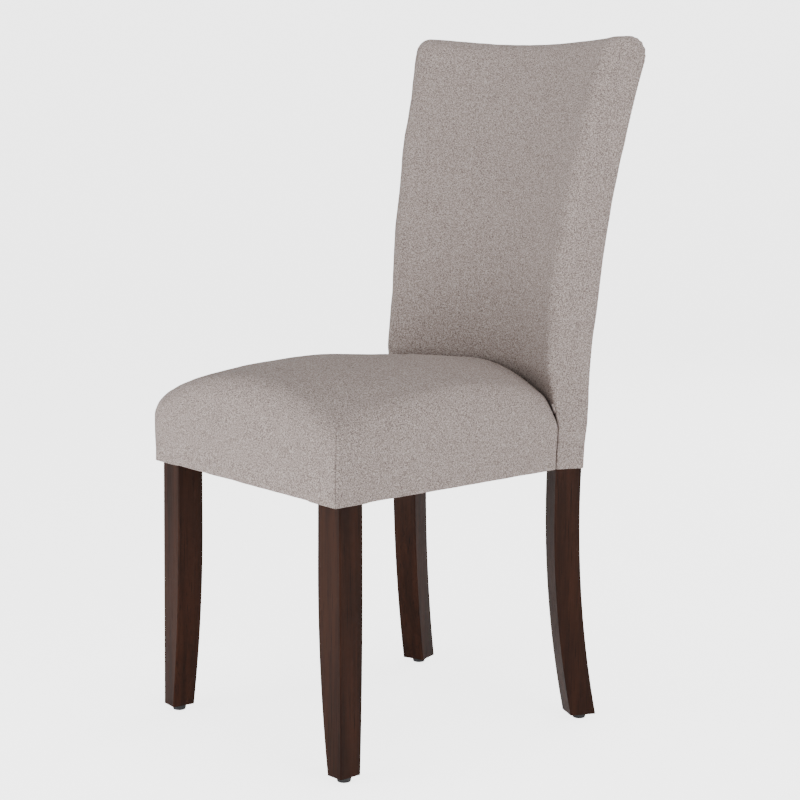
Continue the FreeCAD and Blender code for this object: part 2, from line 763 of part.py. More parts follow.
# Dust cover under the seat, notched round legs and posts, its rear edge on the back rail
dust_top = hem_height
dust_low = dust_top - dust_sheet
dust_radius = barrel_radius + set_back(hem_height) - dust_inset
y_front = leg_front + dust_inset
dust_outline = [(-side_line_x(y_front, -dust_inset), y_front),
                (side_line_x(y_front, -dust_inset), y_front),
                (side_line_x(dust_radius, -dust_inset), dust_radius),
                (-side_line_x(dust_radius, -dust_inset), dust_radius)]
dust_disc = Part.makeCylinder(dust_radius, 4, at(0, 0, dust_low - 1))
dust = prism(dust_outline, dust_low, dust_top).common(dust_disc)
shapes["dust_cover"] = one_solid(dust.cut(legs).cut(posts))

# Everything moves so that the origin is below the middle of the box
box = Part.makeCompound(list(shapes.values())).optimalBoundingBox(False, False)
move = at(0, -(box.YMin + box.YMax) / 2)
os.makedirs("parts", exist_ok=True)
for name, shape in shapes.items():
    shape.translate(move)
    shape.exportStep("parts/" + name + ".step")
    print(name, len(shape.Solids), round(shape.Volume / 1000, 1), shape.isValid())
box.move(move)
print("box", [round(v, 1) for v in (box.XMin, box.YMin, box.ZMin, box.XMax, box.YMax, box.ZMax)])
print("move", round(move.y, 3))
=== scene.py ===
import json
import logging
import math
from dataclasses import dataclass, field
from enum import Enum
from typing import Iterable, Sequence

import bmesh
import bpy
import numpy as np
from mathutils import Matrix, Vector


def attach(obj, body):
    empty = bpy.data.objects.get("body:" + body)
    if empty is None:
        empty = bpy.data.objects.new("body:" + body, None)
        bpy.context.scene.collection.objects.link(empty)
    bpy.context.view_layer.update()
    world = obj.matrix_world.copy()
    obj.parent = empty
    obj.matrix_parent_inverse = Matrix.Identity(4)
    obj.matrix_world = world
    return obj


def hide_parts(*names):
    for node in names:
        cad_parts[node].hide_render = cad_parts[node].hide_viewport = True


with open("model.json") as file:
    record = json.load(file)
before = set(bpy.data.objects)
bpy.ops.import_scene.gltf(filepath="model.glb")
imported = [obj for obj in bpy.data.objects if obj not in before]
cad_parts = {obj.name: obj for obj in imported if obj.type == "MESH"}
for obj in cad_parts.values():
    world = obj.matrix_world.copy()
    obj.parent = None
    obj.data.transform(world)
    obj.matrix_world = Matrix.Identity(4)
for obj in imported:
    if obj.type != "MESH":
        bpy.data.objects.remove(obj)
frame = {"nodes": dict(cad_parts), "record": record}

# Upholstered dining chair: its covers, pads, seams and finishes, in a plain studio. Lengths are in
# metres, the floor is z = 0 and the sitter faces -Y.

log = logging.getLogger("dining_chair")
ROOT = "root"
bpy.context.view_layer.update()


class Side(Enum):
    """The two halves of the chair, with the sign of their X."""

    RIGHT = 1
    LEFT = -1


# Shapes in plain maths

WAVE_COUNT = 9
WAVE_SPREAD = (0.7, 1.5)
WAVE_HEIGHT = 3.2
LADDER_GROWTH = 1.22
RAY_REACH = 1.35
RAY_HALVINGS = 26


def rounded(first: np.ndarray, second: np.ndarray, radius: np.ndarray | float) -> np.ndarray:
    """Signed distance of what two forms share, with a round edge where their skins meet.

    Args:
        first: Signed distances to the first form, positive outside it.
        second: Signed distances to the second form.
        radius: Radius of the edge, one number or one for each point.

    Returns:
        Signed distances to the shared form.
    """
    over_first = first + radius
    over_second = second + radius
    outer = np.hypot(np.maximum(over_first, 0), np.maximum(over_second, 0))
    return outer + np.minimum(np.maximum(over_first, over_second), 0) - radius


def ease(value: np.ndarray, low: float, high: float) -> np.ndarray:
    """Smooth step from 0 at low to 1 at high."""
    share = np.clip((value - low) / (high - low), 0, 1)
    return share * share * (3 - 2 * share)


def bell(value: np.ndarray, width: float) -> np.ndarray:
    """Bell curve: 1 at 0, and falling to 0 over a few widths."""
    return np.exp(-((value / width) ** 2))


def waves(points: np.ndarray, length: float, seed: int) -> np.ndarray:
    """A soft random swell over the points, about -1 to 1.

    Args:
        points: Places, one in each row.
        length: Typical distance from crest to crest.
        seed: Picks one swell, the same on every run.

    Returns:
        One value for each point.
    """
    dice = np.random.default_rng(seed)
    total = np.zeros(len(points))
    for _ in range(WAVE_COUNT):
        way = dice.normal(size=3)
        way /= np.linalg.norm(way)
        pitch = 2 * math.pi / (length * dice.uniform(*WAVE_SPREAD))
        total += np.cos(points @ way * pitch + dice.uniform(0, 2 * math.pi))
    return total / WAVE_HEIGHT


def ladder(length: float, step: float, fine: float, low: bool, high: bool) -> np.ndarray:
    """Places from 0 to 1 along a side, closer together next to its seams.

    Args:
        length: The side's length.
        step: Widest spacing.
        fine: Narrowest spacing.
        low: Whether the spacing narrows towards 0.
        high: Whether the spacing narrows towards 1.

    Returns:
        Rising shares of the length, from 0 to 1.
    """
    sizes = [fine]
    while sizes[-1] < step:
        sizes.append(sizes[-1] * LADDER_GROWTH)
    run = sum(sizes)
    rest = length - run * (int(low) + int(high))
    count = max(1, round(rest / step))
    middle = [rest / count] * count
    steps = (sizes if low else []) + middle + (sizes[::-1] if high else [])
    places = np.concatenate([[0.0], np.cumsum(steps)])
    return places / places[-1]


@dataclass(frozen=True)
class BarrelCurve:
    """The posts' rear face: a side profile turned about one upright line in front of the seat."""

    line_y: float = -0.33392
    radius: float = 0.547
    lean: float = math.radians(2.3)
    knee: float = 0.400
    bend: float = 0.550
    leg_sweep: float = 1.600
    back_sweep: float = 1.700
    turn: float = math.radians(22.5)

    def _sweep(self, z: np.ndarray, start: float, radius: float) -> np.ndarray:
        """Set-back on an arc that meets the straight part.

        Args:
            z: Heights.
            start: Height at which the arc meets the straight part.
            radius: Radius of the arc.

        Returns:
            The set-back at each height.
        """
        centre = (start - self.knee) * math.tan(self.lean) + radius * math.cos(self.lean)
        level = start - radius * math.sin(self.lean)
        return centre - np.sqrt(radius**2 - (z - level) ** 2)

    def set_back(self, z: np.ndarray) -> np.ndarray:
        """How far the profile lies behind its place at the knee.

        Args:
            z: Heights.

        Returns:
            The set-back at each height.
        """
        straight = (z - self.knee) * math.tan(self.lean)
        upper = np.where(z > self.bend, self._sweep(z, self.bend, self.back_sweep), straight)
        return np.where(z < self.knee, self._sweep(z, self.knee, self.leg_sweep), upper)

    def measure(self, points: np.ndarray) -> tuple[np.ndarray, np.ndarray]:
        """Where points lie on the curve.

        Args:
            points: Places, one in each row.

        Returns:
            Each point's angle from the middle plane, and its shift behind the profile.
        """
        x, y = points[:, 0], points[:, 1] - self.line_y
        shift = np.hypot(x, y) - self.radius - self.set_back(points[:, 2])
        return np.arctan2(x, y), shift

    def place(self, angle: np.ndarray, shift: np.ndarray, z: np.ndarray) -> np.ndarray:
        """Points at an angle, a shift behind the profile and a height."""
        reach = self.radius + self.set_back(z) + shift
        return np.stack([reach * np.sin(angle), self.line_y + reach * np.cos(angle), z], axis=1)


CURVE = BarrelCurve()
POST_DEPTH = 0.040
POST_REACH = CURVE.radius - POST_DEPTH

# Sizes that seat and back share: the hem, the cloth and the surface where they meet
HEM = 0.3885
HEM_ROUND = 0.0022
CLOTH = 0.0014
JOINT_LEVELS = (0.450, 0.535)
JOINT_SHIFTS = (-0.0408, -0.0640)
JOINT_GAP = 0.0004


def joint_shift(z: np.ndarray) -> np.ndarray:
    """Shift of the surface where seat and back meet: the cushion's face above, the post below."""
    return np.interp(z, JOINT_LEVELS, JOINT_SHIFTS)


class Form:
    """A soft form with eight corners that a net of points is drawn on to."""

    def hull(self, net: np.ndarray) -> np.ndarray:
        """Places of the net on the form before its edges are rounded."""
        raise NotImplementedError

    def core(self, net: np.ndarray) -> np.ndarray:
        """Places of the net deep inside the form, from which its points are cast outwards."""
        raise NotImplementedError

    def distance(self, points: np.ndarray) -> np.ndarray:
        """Signed distance from the form's skin to each point."""
        raise NotImplementedError

    def cast(self, net: np.ndarray) -> np.ndarray:
        """Where rays from the core through the hull leave the form.

        Args:
            net: Shares across, along and up the form, one point in each row.

        Returns:
            Points on the form's skin.
        """
        start = self.hull(self.core(net))
        ray = (self.hull(net) - start) * RAY_REACH
        low = np.zeros(len(net))
        high = np.ones(len(net))
        for _ in range(RAY_HALVINGS):
            middle = (low + high) / 2
            inside = self.distance(start + ray * middle[:, None]) < 0
            low = np.where(inside, middle, low)
            high = np.where(inside, high, middle)
        return start + ray * ((low + high) / 2)[:, None]

    def outward(self, points: np.ndarray) -> np.ndarray:
        """Directions straight out of the form.

        Args:
            points: Places on the form's skin, one in each row.

        Returns:
            A unit vector for each point.
        """
        step = 2e-4
        slope = np.zeros_like(points)
        for axis in range(3):
            move = np.zeros(3)
            move[axis] = step
            slope[:, axis] = self.distance(points + move) - self.distance(points - move)
        return slope / np.maximum(np.linalg.norm(slope, axis=1), 1e-12)[:, None]


@dataclass(frozen=True)
class SeatForm(Form):
    """The seat: upright front and sides, a crowned top, and a rear that rolls into the back."""

    inset: float = 0.0
    low: float = HEM
    half_width: float = 0.220
    front_y: float = CURVE.line_y + 0.049
    front_wrap: float = 0.0115
    side_wrap: float = 0.0053
    side_turn: float = math.radians(4.0885)
    crown: float = 0.5468
    crown_place: float = 0.200
    crown_depths: tuple[float, ...] = (0.03, 0.25, 0.45)
    crown_across: tuple[float, ...] = (0.52, 1.15, 0.27)
    crown_along: float = 2.05
    shoulder: float = 0.033
    rear_levels: tuple[float, ...] = (0.45, 0.52)
    rear_rounds: tuple[float, ...] = (0.0035, 0.011)
    corner_levels: tuple[float, ...] = (0.39, 0.46, 0.505, 0.54)
    corner_rounds: tuple[float, ...] = (0.006, 0.008, 0.016, 0.040)
    fullness: float = 0.0028
    full_levels: tuple[float, ...] = (0.40, 0.47, 0.55)
    full_width: float = 0.23
    leg_drop: float = 0.0036
    leg_across: tuple[float, float] = (0.062, 0.040)
    leg_along: tuple[float, float] = (0.030, 0.052)
    first_width: float = 0.200
    first_depth: float = 0.40

    def side_x(self, y: np.ndarray) -> np.ndarray:
        """Half width of the outside at a depth."""
        return self.half_width - (y - self.front_y) * math.tan(self.side_turn) + self.side_wrap

    def top(self, x: np.ndarray, y: np.ndarray) -> np.ndarray:
        """Height of the crowned top, which falls off most at the front and at the back.

        Args:
            x: Places across the chair.
            y: Places along it.

        Returns:
            The height at each place.
        """
        depth = y - (self.front_y - self.front_wrap)
        across = np.interp(depth, self.crown_depths, self.crown_across)
        behind = depth - self.crown_place
        return self.crown - x**2 / (2 * across) - behind**2 / (2 * self.crown_along)

    def hem(self, x: np.ndarray, y: np.ndarray) -> np.ndarray:
        """Height of the lower edge, which hangs lower over the front legs.

        Args:
            x: Places across the chair.
            y: Places along it.

        Returns:
            The height at each place.
        """
        inner, outer = (self.half_width - reach for reach in self.leg_across)
        side = ease(np.abs(x), inner, outer)
        front = 1 - ease(y - self.front_y, *self.leg_along)
        return self.low - self.leg_drop * side * front

    def hull(self, net: np.ndarray) -> np.ndarray:
        """Places of the net on the form before its edges are rounded.

        Args:
            net: Shares across, along and up the form, one point in each row.

        Returns:
            The places, worked out from first guesses of the seat's width and depth.
        """
        across, along, up = 2 * net[:, 0] - 1, net[:, 1], net[:, 2]
        front = self.front_y - self.front_wrap + self.inset
        x = across * self.first_width
        y = front + along * self.first_depth
        for _ in range(3):
            z = self.low + up * (self.top(x, y) - self.inset - self.low)
            reach = CURVE.radius + CURVE.set_back(z) + joint_shift(z)
            rear = CURVE.line_y + np.sqrt(reach**2 - x**2) - self.inset
            y = front + along * (rear - front)
            x = across * (self.side_x(y) - self.inset)
        return np.stack([x, y, z], axis=1)

    def core(self, net: np.ndarray) -> np.ndarray:
        """Places of the net deep inside the form, from which its points are cast outwards."""
        deep = np.array([[0.115, 0.115, 0.06], [0.885, 0.95, 0.66]])
        return np.clip(net, deep[0], deep[1])

    def distance(self, points: np.ndarray) -> np.ndarray:
        """Signed distance from the form's skin.

        Args:
            points: Places, one in each row.

        Returns:
            The distance of each point, positive outside the form.
        """
        x, y, z = np.abs(points[:, 0]), points[:, 1], points[:, 2]
        low, middle, high = self.full_levels
        swell = self.fullness * (ease(z, low, middle) * (1 - ease(z, middle, high)))
        bow = 1 - (x / self.full_width) ** 2
        front = self.front_y - self.front_wrap - y - swell * bow
        tilt = self.side_turn
        side = (x - self.half_width) * math.cos(tilt) + (y - self.front_y) * math.sin(tilt)
        side = side - self.side_wrap - swell
        plan = rounded(front, side, np.interp(z, self.corner_levels, self.corner_rounds))
        top = z - self.top(x, y)
        body = rounded(plan, top, self.shoulder)
        _, shift = CURVE.measure(points)
        rear = shift - joint_shift(z) + JOINT_GAP
        body = rounded(body, rear, np.interp(z, self.rear_levels, self.rear_rounds))
        body = rounded(body, self.hem(x, y) - z, HEM_ROUND)
        return body + self.inset


@dataclass(frozen=True)
class BackForm(Form):
    """The back: hollowed towards the sitter, with a dipped crest and soft outer corners."""

    inset: float = 0.0
    low: float = HEM
    crest: float = 1.0200
    dip: float = 0.0112
    dip_power: float = 1.6
    front: float = JOINT_SHIFTS[1]
    rear: float = 0.0050
    side: float = 0.0036
    side_reach: float = 0.50
    gap_top: float = 0.54
    full_levels: tuple[float, ...] = (0.52, 0.66, 0.82, 0.97)
    full_side: float = 0.0022
    full_front: float = 0.0022
    full_rear: float = 0.0030
    tuck_levels: tuple[float, float] = (0.42, 0.465)
    tuck_side: float = 0.0026
    tuck_rear: float = 0.0022
    crest_front_round: float = 0.020
    crest_rear_round: float = 0.040
    edge_shifts: tuple[float, float] = (-0.050, -0.022)
    front_edge_levels: tuple[float, ...] = (0.45, 0.53, 0.62)
    front_edge_rounds: tuple[float, ...] = (0.0014, 0.010, 0.0235)
    rear_edge_levels: tuple[float, ...] = (0.43, 0.50)
    rear_edge_rounds: tuple[float, ...] = (0.0026, 0.0085)

    def crest_at(self, angle: np.ndarray) -> np.ndarray:
        """Height of the crest, lowest in the middle."""
        share = np.minimum(np.abs(angle) / CURVE.turn, 1.0)
        return self.crest - self.dip * (1 - share**self.dip_power)

    def front_shift(self, z: np.ndarray) -> np.ndarray:
        """Shift of the front face, which steps back to the post below the seat's top."""
        return joint_shift(z) + JOINT_GAP * (z < self.gap_top)

    def hull(self, net: np.ndarray) -> np.ndarray:
        """Places of the net on the form before its edges are rounded.

        Args:
            net: Shares across, along and up the form, one point in each row.

        Returns:
            The places.
        """
        across = 2 * net[:, 0] - 1
        angle = across * (CURVE.turn + (self.side - self.inset) / self.side_reach)
        z = self.low + net[:, 2] * (self.crest_at(angle) - self.inset - self.low)
        front = self.front_shift(z) + self.inset
        shift = front + net[:, 1] * (self.rear - self.inset - front)
        return CURVE.place(angle, shift, z)

    def core(self, net: np.ndarray) -> np.ndarray:
        """Places of the net deep inside the form, from which its points are cast outwards."""
        deep = np.array([[0.07, 0.42, 0.02], [0.93, 0.58, 0.945]])
        return np.clip(net, deep[0], deep[1])

    def distance(self, points: np.ndarray) -> np.ndarray:
        """Signed distance from the form's skin.

        Args:
            points: Places, one in each row.

        Returns:
            The distance of each point, positive outside the form.
        """
        z = points[:, 2]
        angle, shift = CURVE.measure(points)
        reach = POST_REACH + CURVE.set_back(z)
        share = np.abs(angle) / CURVE.turn
        middle = ease(z, *self.full_levels[:2]) * (1 - ease(z, *self.full_levels[2:]))
        low = 1 - ease(z, *self.tuck_levels)
        side = (np.abs(angle) - CURVE.turn) * reach - self.side
        side = side - self.full_side * middle + self.tuck_side * low
        front = self.front_shift(z) - shift - self.full_front * middle * (1 - share**2)
        rear = shift - self.rear - self.full_rear * middle + self.tuck_rear * low
        top = z - self.crest_at(angle)
        ahead = rounded(front, top, self.crest_front_round)
        profile = np.maximum(ahead, rounded(rear, top, self.crest_rear_round))
        forward = np.interp(shift, self.edge_shifts, (1.0, 0.0))
        edge = np.interp(z, self.front_edge_levels, self.front_edge_rounds)
        behind = np.interp(z, self.rear_edge_levels, self.rear_edge_rounds)
        body = rounded(side, profile, behind + forward * (edge - behind))
        return rounded(body, self.low - z, HEM_ROUND) + self.inset


# Mesh helpers

MERGE = 1e-6
NEAR = 1e-9


def lattice(across: np.ndarray, along: np.ndarray, up: np.ndarray) -> tuple[np.ndarray, np.ndarray]:
    """The skin of a box-shaped net.

    Args:
        across: Shares from the left side to the right side.
        along: Shares from the front to the rear.
        up: Shares from the lower to the upper face.

    Returns:
        The net's points as shares, and its four-sided faces as rows of point numbers.
    """
    counts = (len(across), len(along), len(up))
    grid = np.indices(counts)
    skin = np.zeros(counts, bool)
    for axis, count in enumerate(counts):
        skin |= (grid[axis] == 0) | (grid[axis] == count - 1)
    number = np.full(counts, -1)
    number[skin] = np.arange(skin.sum())
    spots = grid[:, skin]
    net = np.stack([across[spots[0]], along[spots[1]], up[spots[2]]], axis=1)
    quads = []
    for axis in range(3):
        for end in (0, -1):
            sheet = np.take(number, end, axis=axis)
            ring = [sheet[:-1, :-1], sheet[1:, :-1], sheet[1:, 1:], sheet[:-1, 1:]]
            quad = np.stack([part.ravel() for part in ring], axis=1)
            flip = (end == 0) != (axis == 1)
            quads.append(quad[:, ::-1] if flip else quad)
    return net, np.concatenate(quads)


def mesh_piece(name: str, points: np.ndarray, faces: Iterable[Sequence[int]]) -> bpy.types.Object:
    """A new piece from points and faces, with loose points dropped and doubled points merged.

    Args:
        name: The piece's name.
        points: Places of the points.
        faces: Rows of point numbers.

    Returns:
        The piece, linked to the scene and active.
    """
    mesh = bpy.data.meshes.new(name)
    mesh.from_pydata([tuple(p) for p in points], [], [tuple(int(i) for i in f) for f in faces])
    shape = bmesh.new()
    shape.from_mesh(mesh)
    loose = [vertex for vertex in shape.verts if not vertex.link_faces]
    bmesh.ops.delete(shape, geom=loose, context="VERTS")
    bmesh.ops.remove_doubles(shape, verts=shape.verts, dist=MERGE)
    shape.to_mesh(mesh)
    shape.free()
    piece = bpy.data.objects.new(name, mesh)
    bpy.context.scene.collection.objects.link(piece)
    only(piece)
    return piece


def only(piece: bpy.types.Object) -> None:
    """Selects one piece and nothing else, and makes it active.

    Args:
        piece: The piece.
    """
    if bpy.context.mode != "OBJECT":
        bpy.ops.object.mode_set(mode="OBJECT")
    bpy.ops.object.select_all(action="DESELECT")
    piece.select_set(True)
    bpy.context.view_layer.objects.active = piece


def modify(piece: bpy.types.Object, kind: str, **settings: object) -> None:
    """Adds a modifier to a piece, sets it up and applies it.

    Args:
        piece: The piece.
        kind: The modifier's type.
        settings: Its options, by name.
    """
    only(piece)
    modifier = piece.modifiers.new(kind.title(), kind)
    for key, value in settings.items():
        setattr(modifier, key, value)
    bpy.ops.object.modifier_apply(modifier=modifier.name)


def smooth(piece: bpy.types.Object, degrees: float = 50.0) -> None:
    """Shades a piece smooth, with sharp edges where it turns by more than an angle."""
    only(piece)
    bpy.ops.object.shade_smooth_by_angle(angle=math.radians(degrees))


def settle(piece: bpy.types.Object, finish: bpy.types.Material) -> bpy.types.Object:
    """Gives a finished piece its place in the frame and its finish.

    Args:
        piece: The piece, in place.
        finish: The finish to show.

    Returns:
        The same piece.
    """
    only(piece)
    bpy.ops.object.transform_apply(location=True, rotation=True, scale=True)
    piece.data.materials.clear()
    piece.data.materials.append(finish)
    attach(piece, ROOT)
    log.info("%s: %d faces", piece.name, len(piece.data.polygons))
    return piece


def join(name: str, parts: Sequence[bpy.types.Object]) -> bpy.types.Object:
    """Joins several meshes into one piece.

    Args:
        name: The piece's name.
        parts: The meshes.

    Returns:
        The piece.
    """
    only(parts[0])
    for part in parts:
        part.select_set(True)
    bpy.ops.object.join()
    joined = bpy.context.active_object
    joined.name = name
    joined.data.name = name
    return joined


def clothe(piece: bpy.types.Object, finish: bpy.types.Material) -> bpy.types.Object:
    """Gives a cover the cloth's thickness, inwards, and its finish.

    Args:
        piece: The cover's skin.
        finish: The cloth's finish.

    Returns:
        The same piece.
    """
    modify(piece, "SOLIDIFY", thickness=CLOTH, offset=-1.0, use_even_offset=False)
    smooth(piece)
    return settle(piece, finish)


# Finishes


class Value:
    """An output socket that carries a number and can stand in sums."""

    def __init__(self, graph: "Graph", socket: bpy.types.NodeSocket) -> None:
        """Keeps the socket and the graph that it belongs to."""
        self.graph = graph
        self.socket = socket

    def _with(self, operation: str, first: object, second: object = None) -> "Value":
        """Adds one Math node.

        Args:
            operation: What it does.
            first: Its first number or value.
            second: Its second one, if it takes two.

        Returns:
            The node's output.
        """
        values = {0: first} if second is None else {0: first, 1: second}
        node = self.graph.node("ShaderNodeMath", {"operation": operation}, values)
        return Value(self.graph, node.outputs[0])

    def __add__(self, other: object) -> "Value":
        """Sum."""
        return self._with("ADD", self, other)

    __radd__ = __add__

    def __sub__(self, other: object) -> "Value":
        """Difference."""
        return self._with("SUBTRACT", self, other)

    def __rsub__(self, other: object) -> "Value":
        """Difference with the number first."""
        return self._with("SUBTRACT", other, self)

    def __mul__(self, other: object) -> "Value":
        """Product."""
        return self._with("MULTIPLY", self, other)

    __rmul__ = __mul__

    def sine(self) -> "Value":
        """Sine of an angle in radians."""
        return self._with("SINE", self)

    def size(self) -> "Value":
        """The number without its sign."""
        return self._with("ABSOLUTE", self)

    def step(self, low: float, high: float) -> "Value":
        """Smooth step.

        Args:
            low: Where it is 0.
            high: Where it is 1.

        Returns:
            The step.
        """
        node = self.graph.node(
            "ShaderNodeMapRange",
            {"interpolation_type": "SMOOTHSTEP"},
            {"Value": self, "From Min": low, "From Max": high},
        )
        return Value(self.graph, node.outputs["Result"])


class Graph:
    """The nodes of one finish."""

    def __init__(self, name: str) -> None:
        """Starts an empty finish.

        Args:
            name: Its name.
        """
        self.material = bpy.data.materials.new(name)
        self.material.use_nodes = True
        self.nodes = self.material.node_tree.nodes
        self.links = self.material.node_tree.links
        self.nodes.clear()
        self.output = self.node("ShaderNodeOutputMaterial")
        self.place = self.node("ShaderNodeTexCoord").outputs["Object"]

    def node(
        self,
        kind: str,
        settings: dict[str, object] | None = None,
        values: dict[object, object] | None = None,
    ) -> bpy.types.Node:
        """Adds a node, sets its options first and then its inputs.

        Args:
            kind: The node's type.
            settings: Options of the node, by name.
            values: Numbers, colours or sockets for its inputs, by name or number.

        Returns:
            The new node.
        """
        node = self.nodes.new(kind)
        for key, setting in (settings or {}).items():
            setattr(node, key, setting)
        for key, value in (values or {}).items():
            socket = node.inputs[key]
            if isinstance(value, Value):
                value = value.socket
            if isinstance(value, bpy.types.NodeSocket):
                self.links.new(value, socket)
            elif isinstance(value, tuple) and len(value) == 3 and socket.type == "RGBA":
                socket.default_value = (*value, 1.0)
            else:
                socket.default_value = value
        return node

    def scaled(self, x: float, y: float, z: float) -> bpy.types.NodeSocket:
        """The object's own coordinates, stretched along its axes."""
        values = {"Vector": self.place, "Scale": (x, y, z)}
        return self.node("ShaderNodeMapping", {}, values).outputs[0]

    def noise(self, where: bpy.types.NodeSocket, scale: float, detail: float = 2.0) -> Value:
        """Cloudy noise, about 0.3 to 0.7."""
        values = {"Vector": where, "Scale": scale, "Detail": detail, "Roughness": 0.55}
        return Value(self, self.node("ShaderNodeTexNoise", {}, values).outputs["Fac"])

    def axis(self, where: bpy.types.NodeSocket, name: str) -> Value:
        """One part of a vector."""
        node = self.node("ShaderNodeSeparateXYZ", {}, {0: where})
        return Value(self, node.outputs[name])

    def mix(self, share: Value | float, first: object, second: object) -> bpy.types.NodeSocket:
        """A colour between two colours.

        Args:
            share: 0 for the first colour, 1 for the second.
            first: The first colour.
            second: The second colour.

        Returns:
            The colour's socket.
        """
        settings = {"data_type": "RGBA"}
        node = self.node("ShaderNodeMix", settings, {0: share, 6: first, 7: second})
        return node.outputs[2]

    def bump(self, height: Value, depth: float, strength: float = 1.0) -> bpy.types.NodeSocket:
        """A normal from a height between 0 and 1 that stands for a depth in metres."""
        values = {"Height": height, "Distance": depth, "Strength": strength}
        return self.node("ShaderNodeBump", {}, values).outputs[0]

    def finish(self, **values: object) -> bpy.types.Material:
        """Ends the finish with its surface.

        Args:
            values: The surface's inputs, by name, with spaces as underscores.

        Returns:
            The finish.
        """
        inputs = {key.replace("_", " "): value for key, value in values.items()}
        surface = self.node("ShaderNodeBsdfPrincipled", {}, inputs)
        self.links.new(surface.outputs[0], self.output.inputs["Surface"])
        return self.material


@dataclass(frozen=True)
class WovenCover:
    """Flat-woven upholstery cloth with light and dark yarns that look like fine flecks."""

    name: str = "cover_weave"
    ground: tuple[float, float, float] = (0.315, 0.260, 0.237)
    pale: tuple[float, float, float] = (0.560, 0.490, 0.455)
    dark: tuple[float, float, float] = (0.120, 0.090, 0.083)
    yarn: float = 0.00105
    fleck_scale: float = 760.0
    yarn_scale: float = 1040.0
    yarn_stretch: float = 0.32
    cloud_scale: float = 14.0
    fleck_steps: tuple[float, float] = (0.49, 0.60)
    face_steps: tuple[float, float] = (0.45, 0.85)
    contrast: float = 0.84
    relief: float = 0.00040

    def _weave(self, first: Value, second: Value) -> Value:
        """Height of a plain weave.

        Args:
            first: Place along the first direction.
            second: Place along the second direction.

        Returns:
            The height, 0 to 1.
        """
        turn = math.pi / self.yarn
        over = (first * turn).sine() * (second * turn).sine()
        return over * 0.5 + 0.5

    def build(self) -> bpy.types.Material:
        """Makes the finish.

        Returns:
            The material.
        """
        graph = Graph(self.name)
        x, y, z = (graph.axis(graph.place, part) for part in "XYZ")
        facing = graph.node("ShaderNodeTexCoord").outputs["Normal"]
        face_x = graph.axis(facing, "X").size().step(*self.face_steps)
        face_z = graph.axis(facing, "Z").size().step(*self.face_steps)
        upright = self._weave(x, z) * (1 - face_x) + self._weave(y, z) * face_x
        weave = upright * (1 - face_z) + self._weave(x, y) * face_z
        long = self.yarn_stretch
        fleck = graph.noise(graph.place, self.fleck_scale, 1.0)
        slub = graph.noise(graph.scaled(1.0, 1.0, long), self.yarn_scale, 1.0)
        level = graph.noise(graph.scaled(long, long, 1.0), self.yarn_scale, 1.0)
        cloud = graph.noise(graph.place, self.cloud_scale, 3.0)
        tone = fleck * 0.50 + slub * 0.25 + level * 0.25
        bright = tone.step(*self.fleck_steps) * self.contrast
        deep = (1 - tone).step(*self.fleck_steps) * self.contrast
        colour = graph.mix(bright, self.ground, self.pale)
        colour = graph.mix(deep, colour, self.dark)
        colour = graph.mix((cloud - 0.5).size() * 0.22, colour, self.dark)
        # Painted shade: the cloth is darkened in the weave's hollows, where its height is low.
        colour = graph.mix((1 - weave) * 0.16, colour, self.dark)
        height = weave * 0.55 + fleck * 0.45
        return graph.finish(
            Base_Color=colour,
            Roughness=0.88 + (tone - 0.5) * 0.2,
            Normal=graph.bump(height, self.relief, 0.8),
            Specular_IOR_Level=0.18,
        )


class Grain(Enum):
    """The axis that a piece's grain runs along."""

    ACROSS = "X"
    ALONG = "Y"
    UPRIGHT = "Z"


@dataclass(frozen=True)
class StainedWood:
    """Close-grained wood, stained and finished with a satin lacquer."""

    name: str = "espresso_wood"
    deep: tuple[float, float, float] = (0.0165, 0.0056, 0.0029)
    warm: tuple[float, float, float] = (0.0345, 0.0113, 0.0054)
    pore: tuple[float, float, float] = (0.0050, 0.0022, 0.0015)
    grain: Grain = Grain.UPRIGHT
    gloss: float = 0.04
    shine: float = 0.09
    figure_scale: float = 62.0
    figure_stretch: float = 0.05
    pore_scale: float = 620.0
    pore_stretch: float = 0.025
    pore_steps: tuple[float, float] = (0.56, 0.70)
    cloud_scale: float = 7.0

    def _drawn(self, graph: Graph, stretch: float) -> bpy.types.NodeSocket:
        """Coordinates that draw a pattern out along the grain."""
        return graph.scaled(*(stretch if self.grain.value == axis else 1.0 for axis in "XYZ"))

    def build(self) -> bpy.types.Material:
        """Makes the finish, with the grain along one axis.

        Returns:
            The material.
        """
        graph = Graph(self.name)
        figure = graph.noise(self._drawn(graph, self.figure_stretch), self.figure_scale, 4.0)
        fine = graph.noise(self._drawn(graph, self.pore_stretch), self.pore_scale, 3.0)
        cloud = graph.noise(graph.place, self.cloud_scale, 2.0)
        tone = (figure * 0.75 + cloud * 0.25).step(0.36, 0.64)
        colour = graph.mix(tone, self.deep, self.warm)
        colour = graph.mix(fine.step(*self.pore_steps) * 0.65, colour, self.pore)
        return graph.finish(
            Base_Color=colour,
            Roughness=0.42 + (fine - 0.5) * 0.35,
            Normal=graph.bump(1 - fine.step(0.50, 0.72), 0.00012, 0.55),
            Specular_IOR_Level=self.shine,
            Coat_Weight=self.gloss,
            Coat_Roughness=0.25,
        )


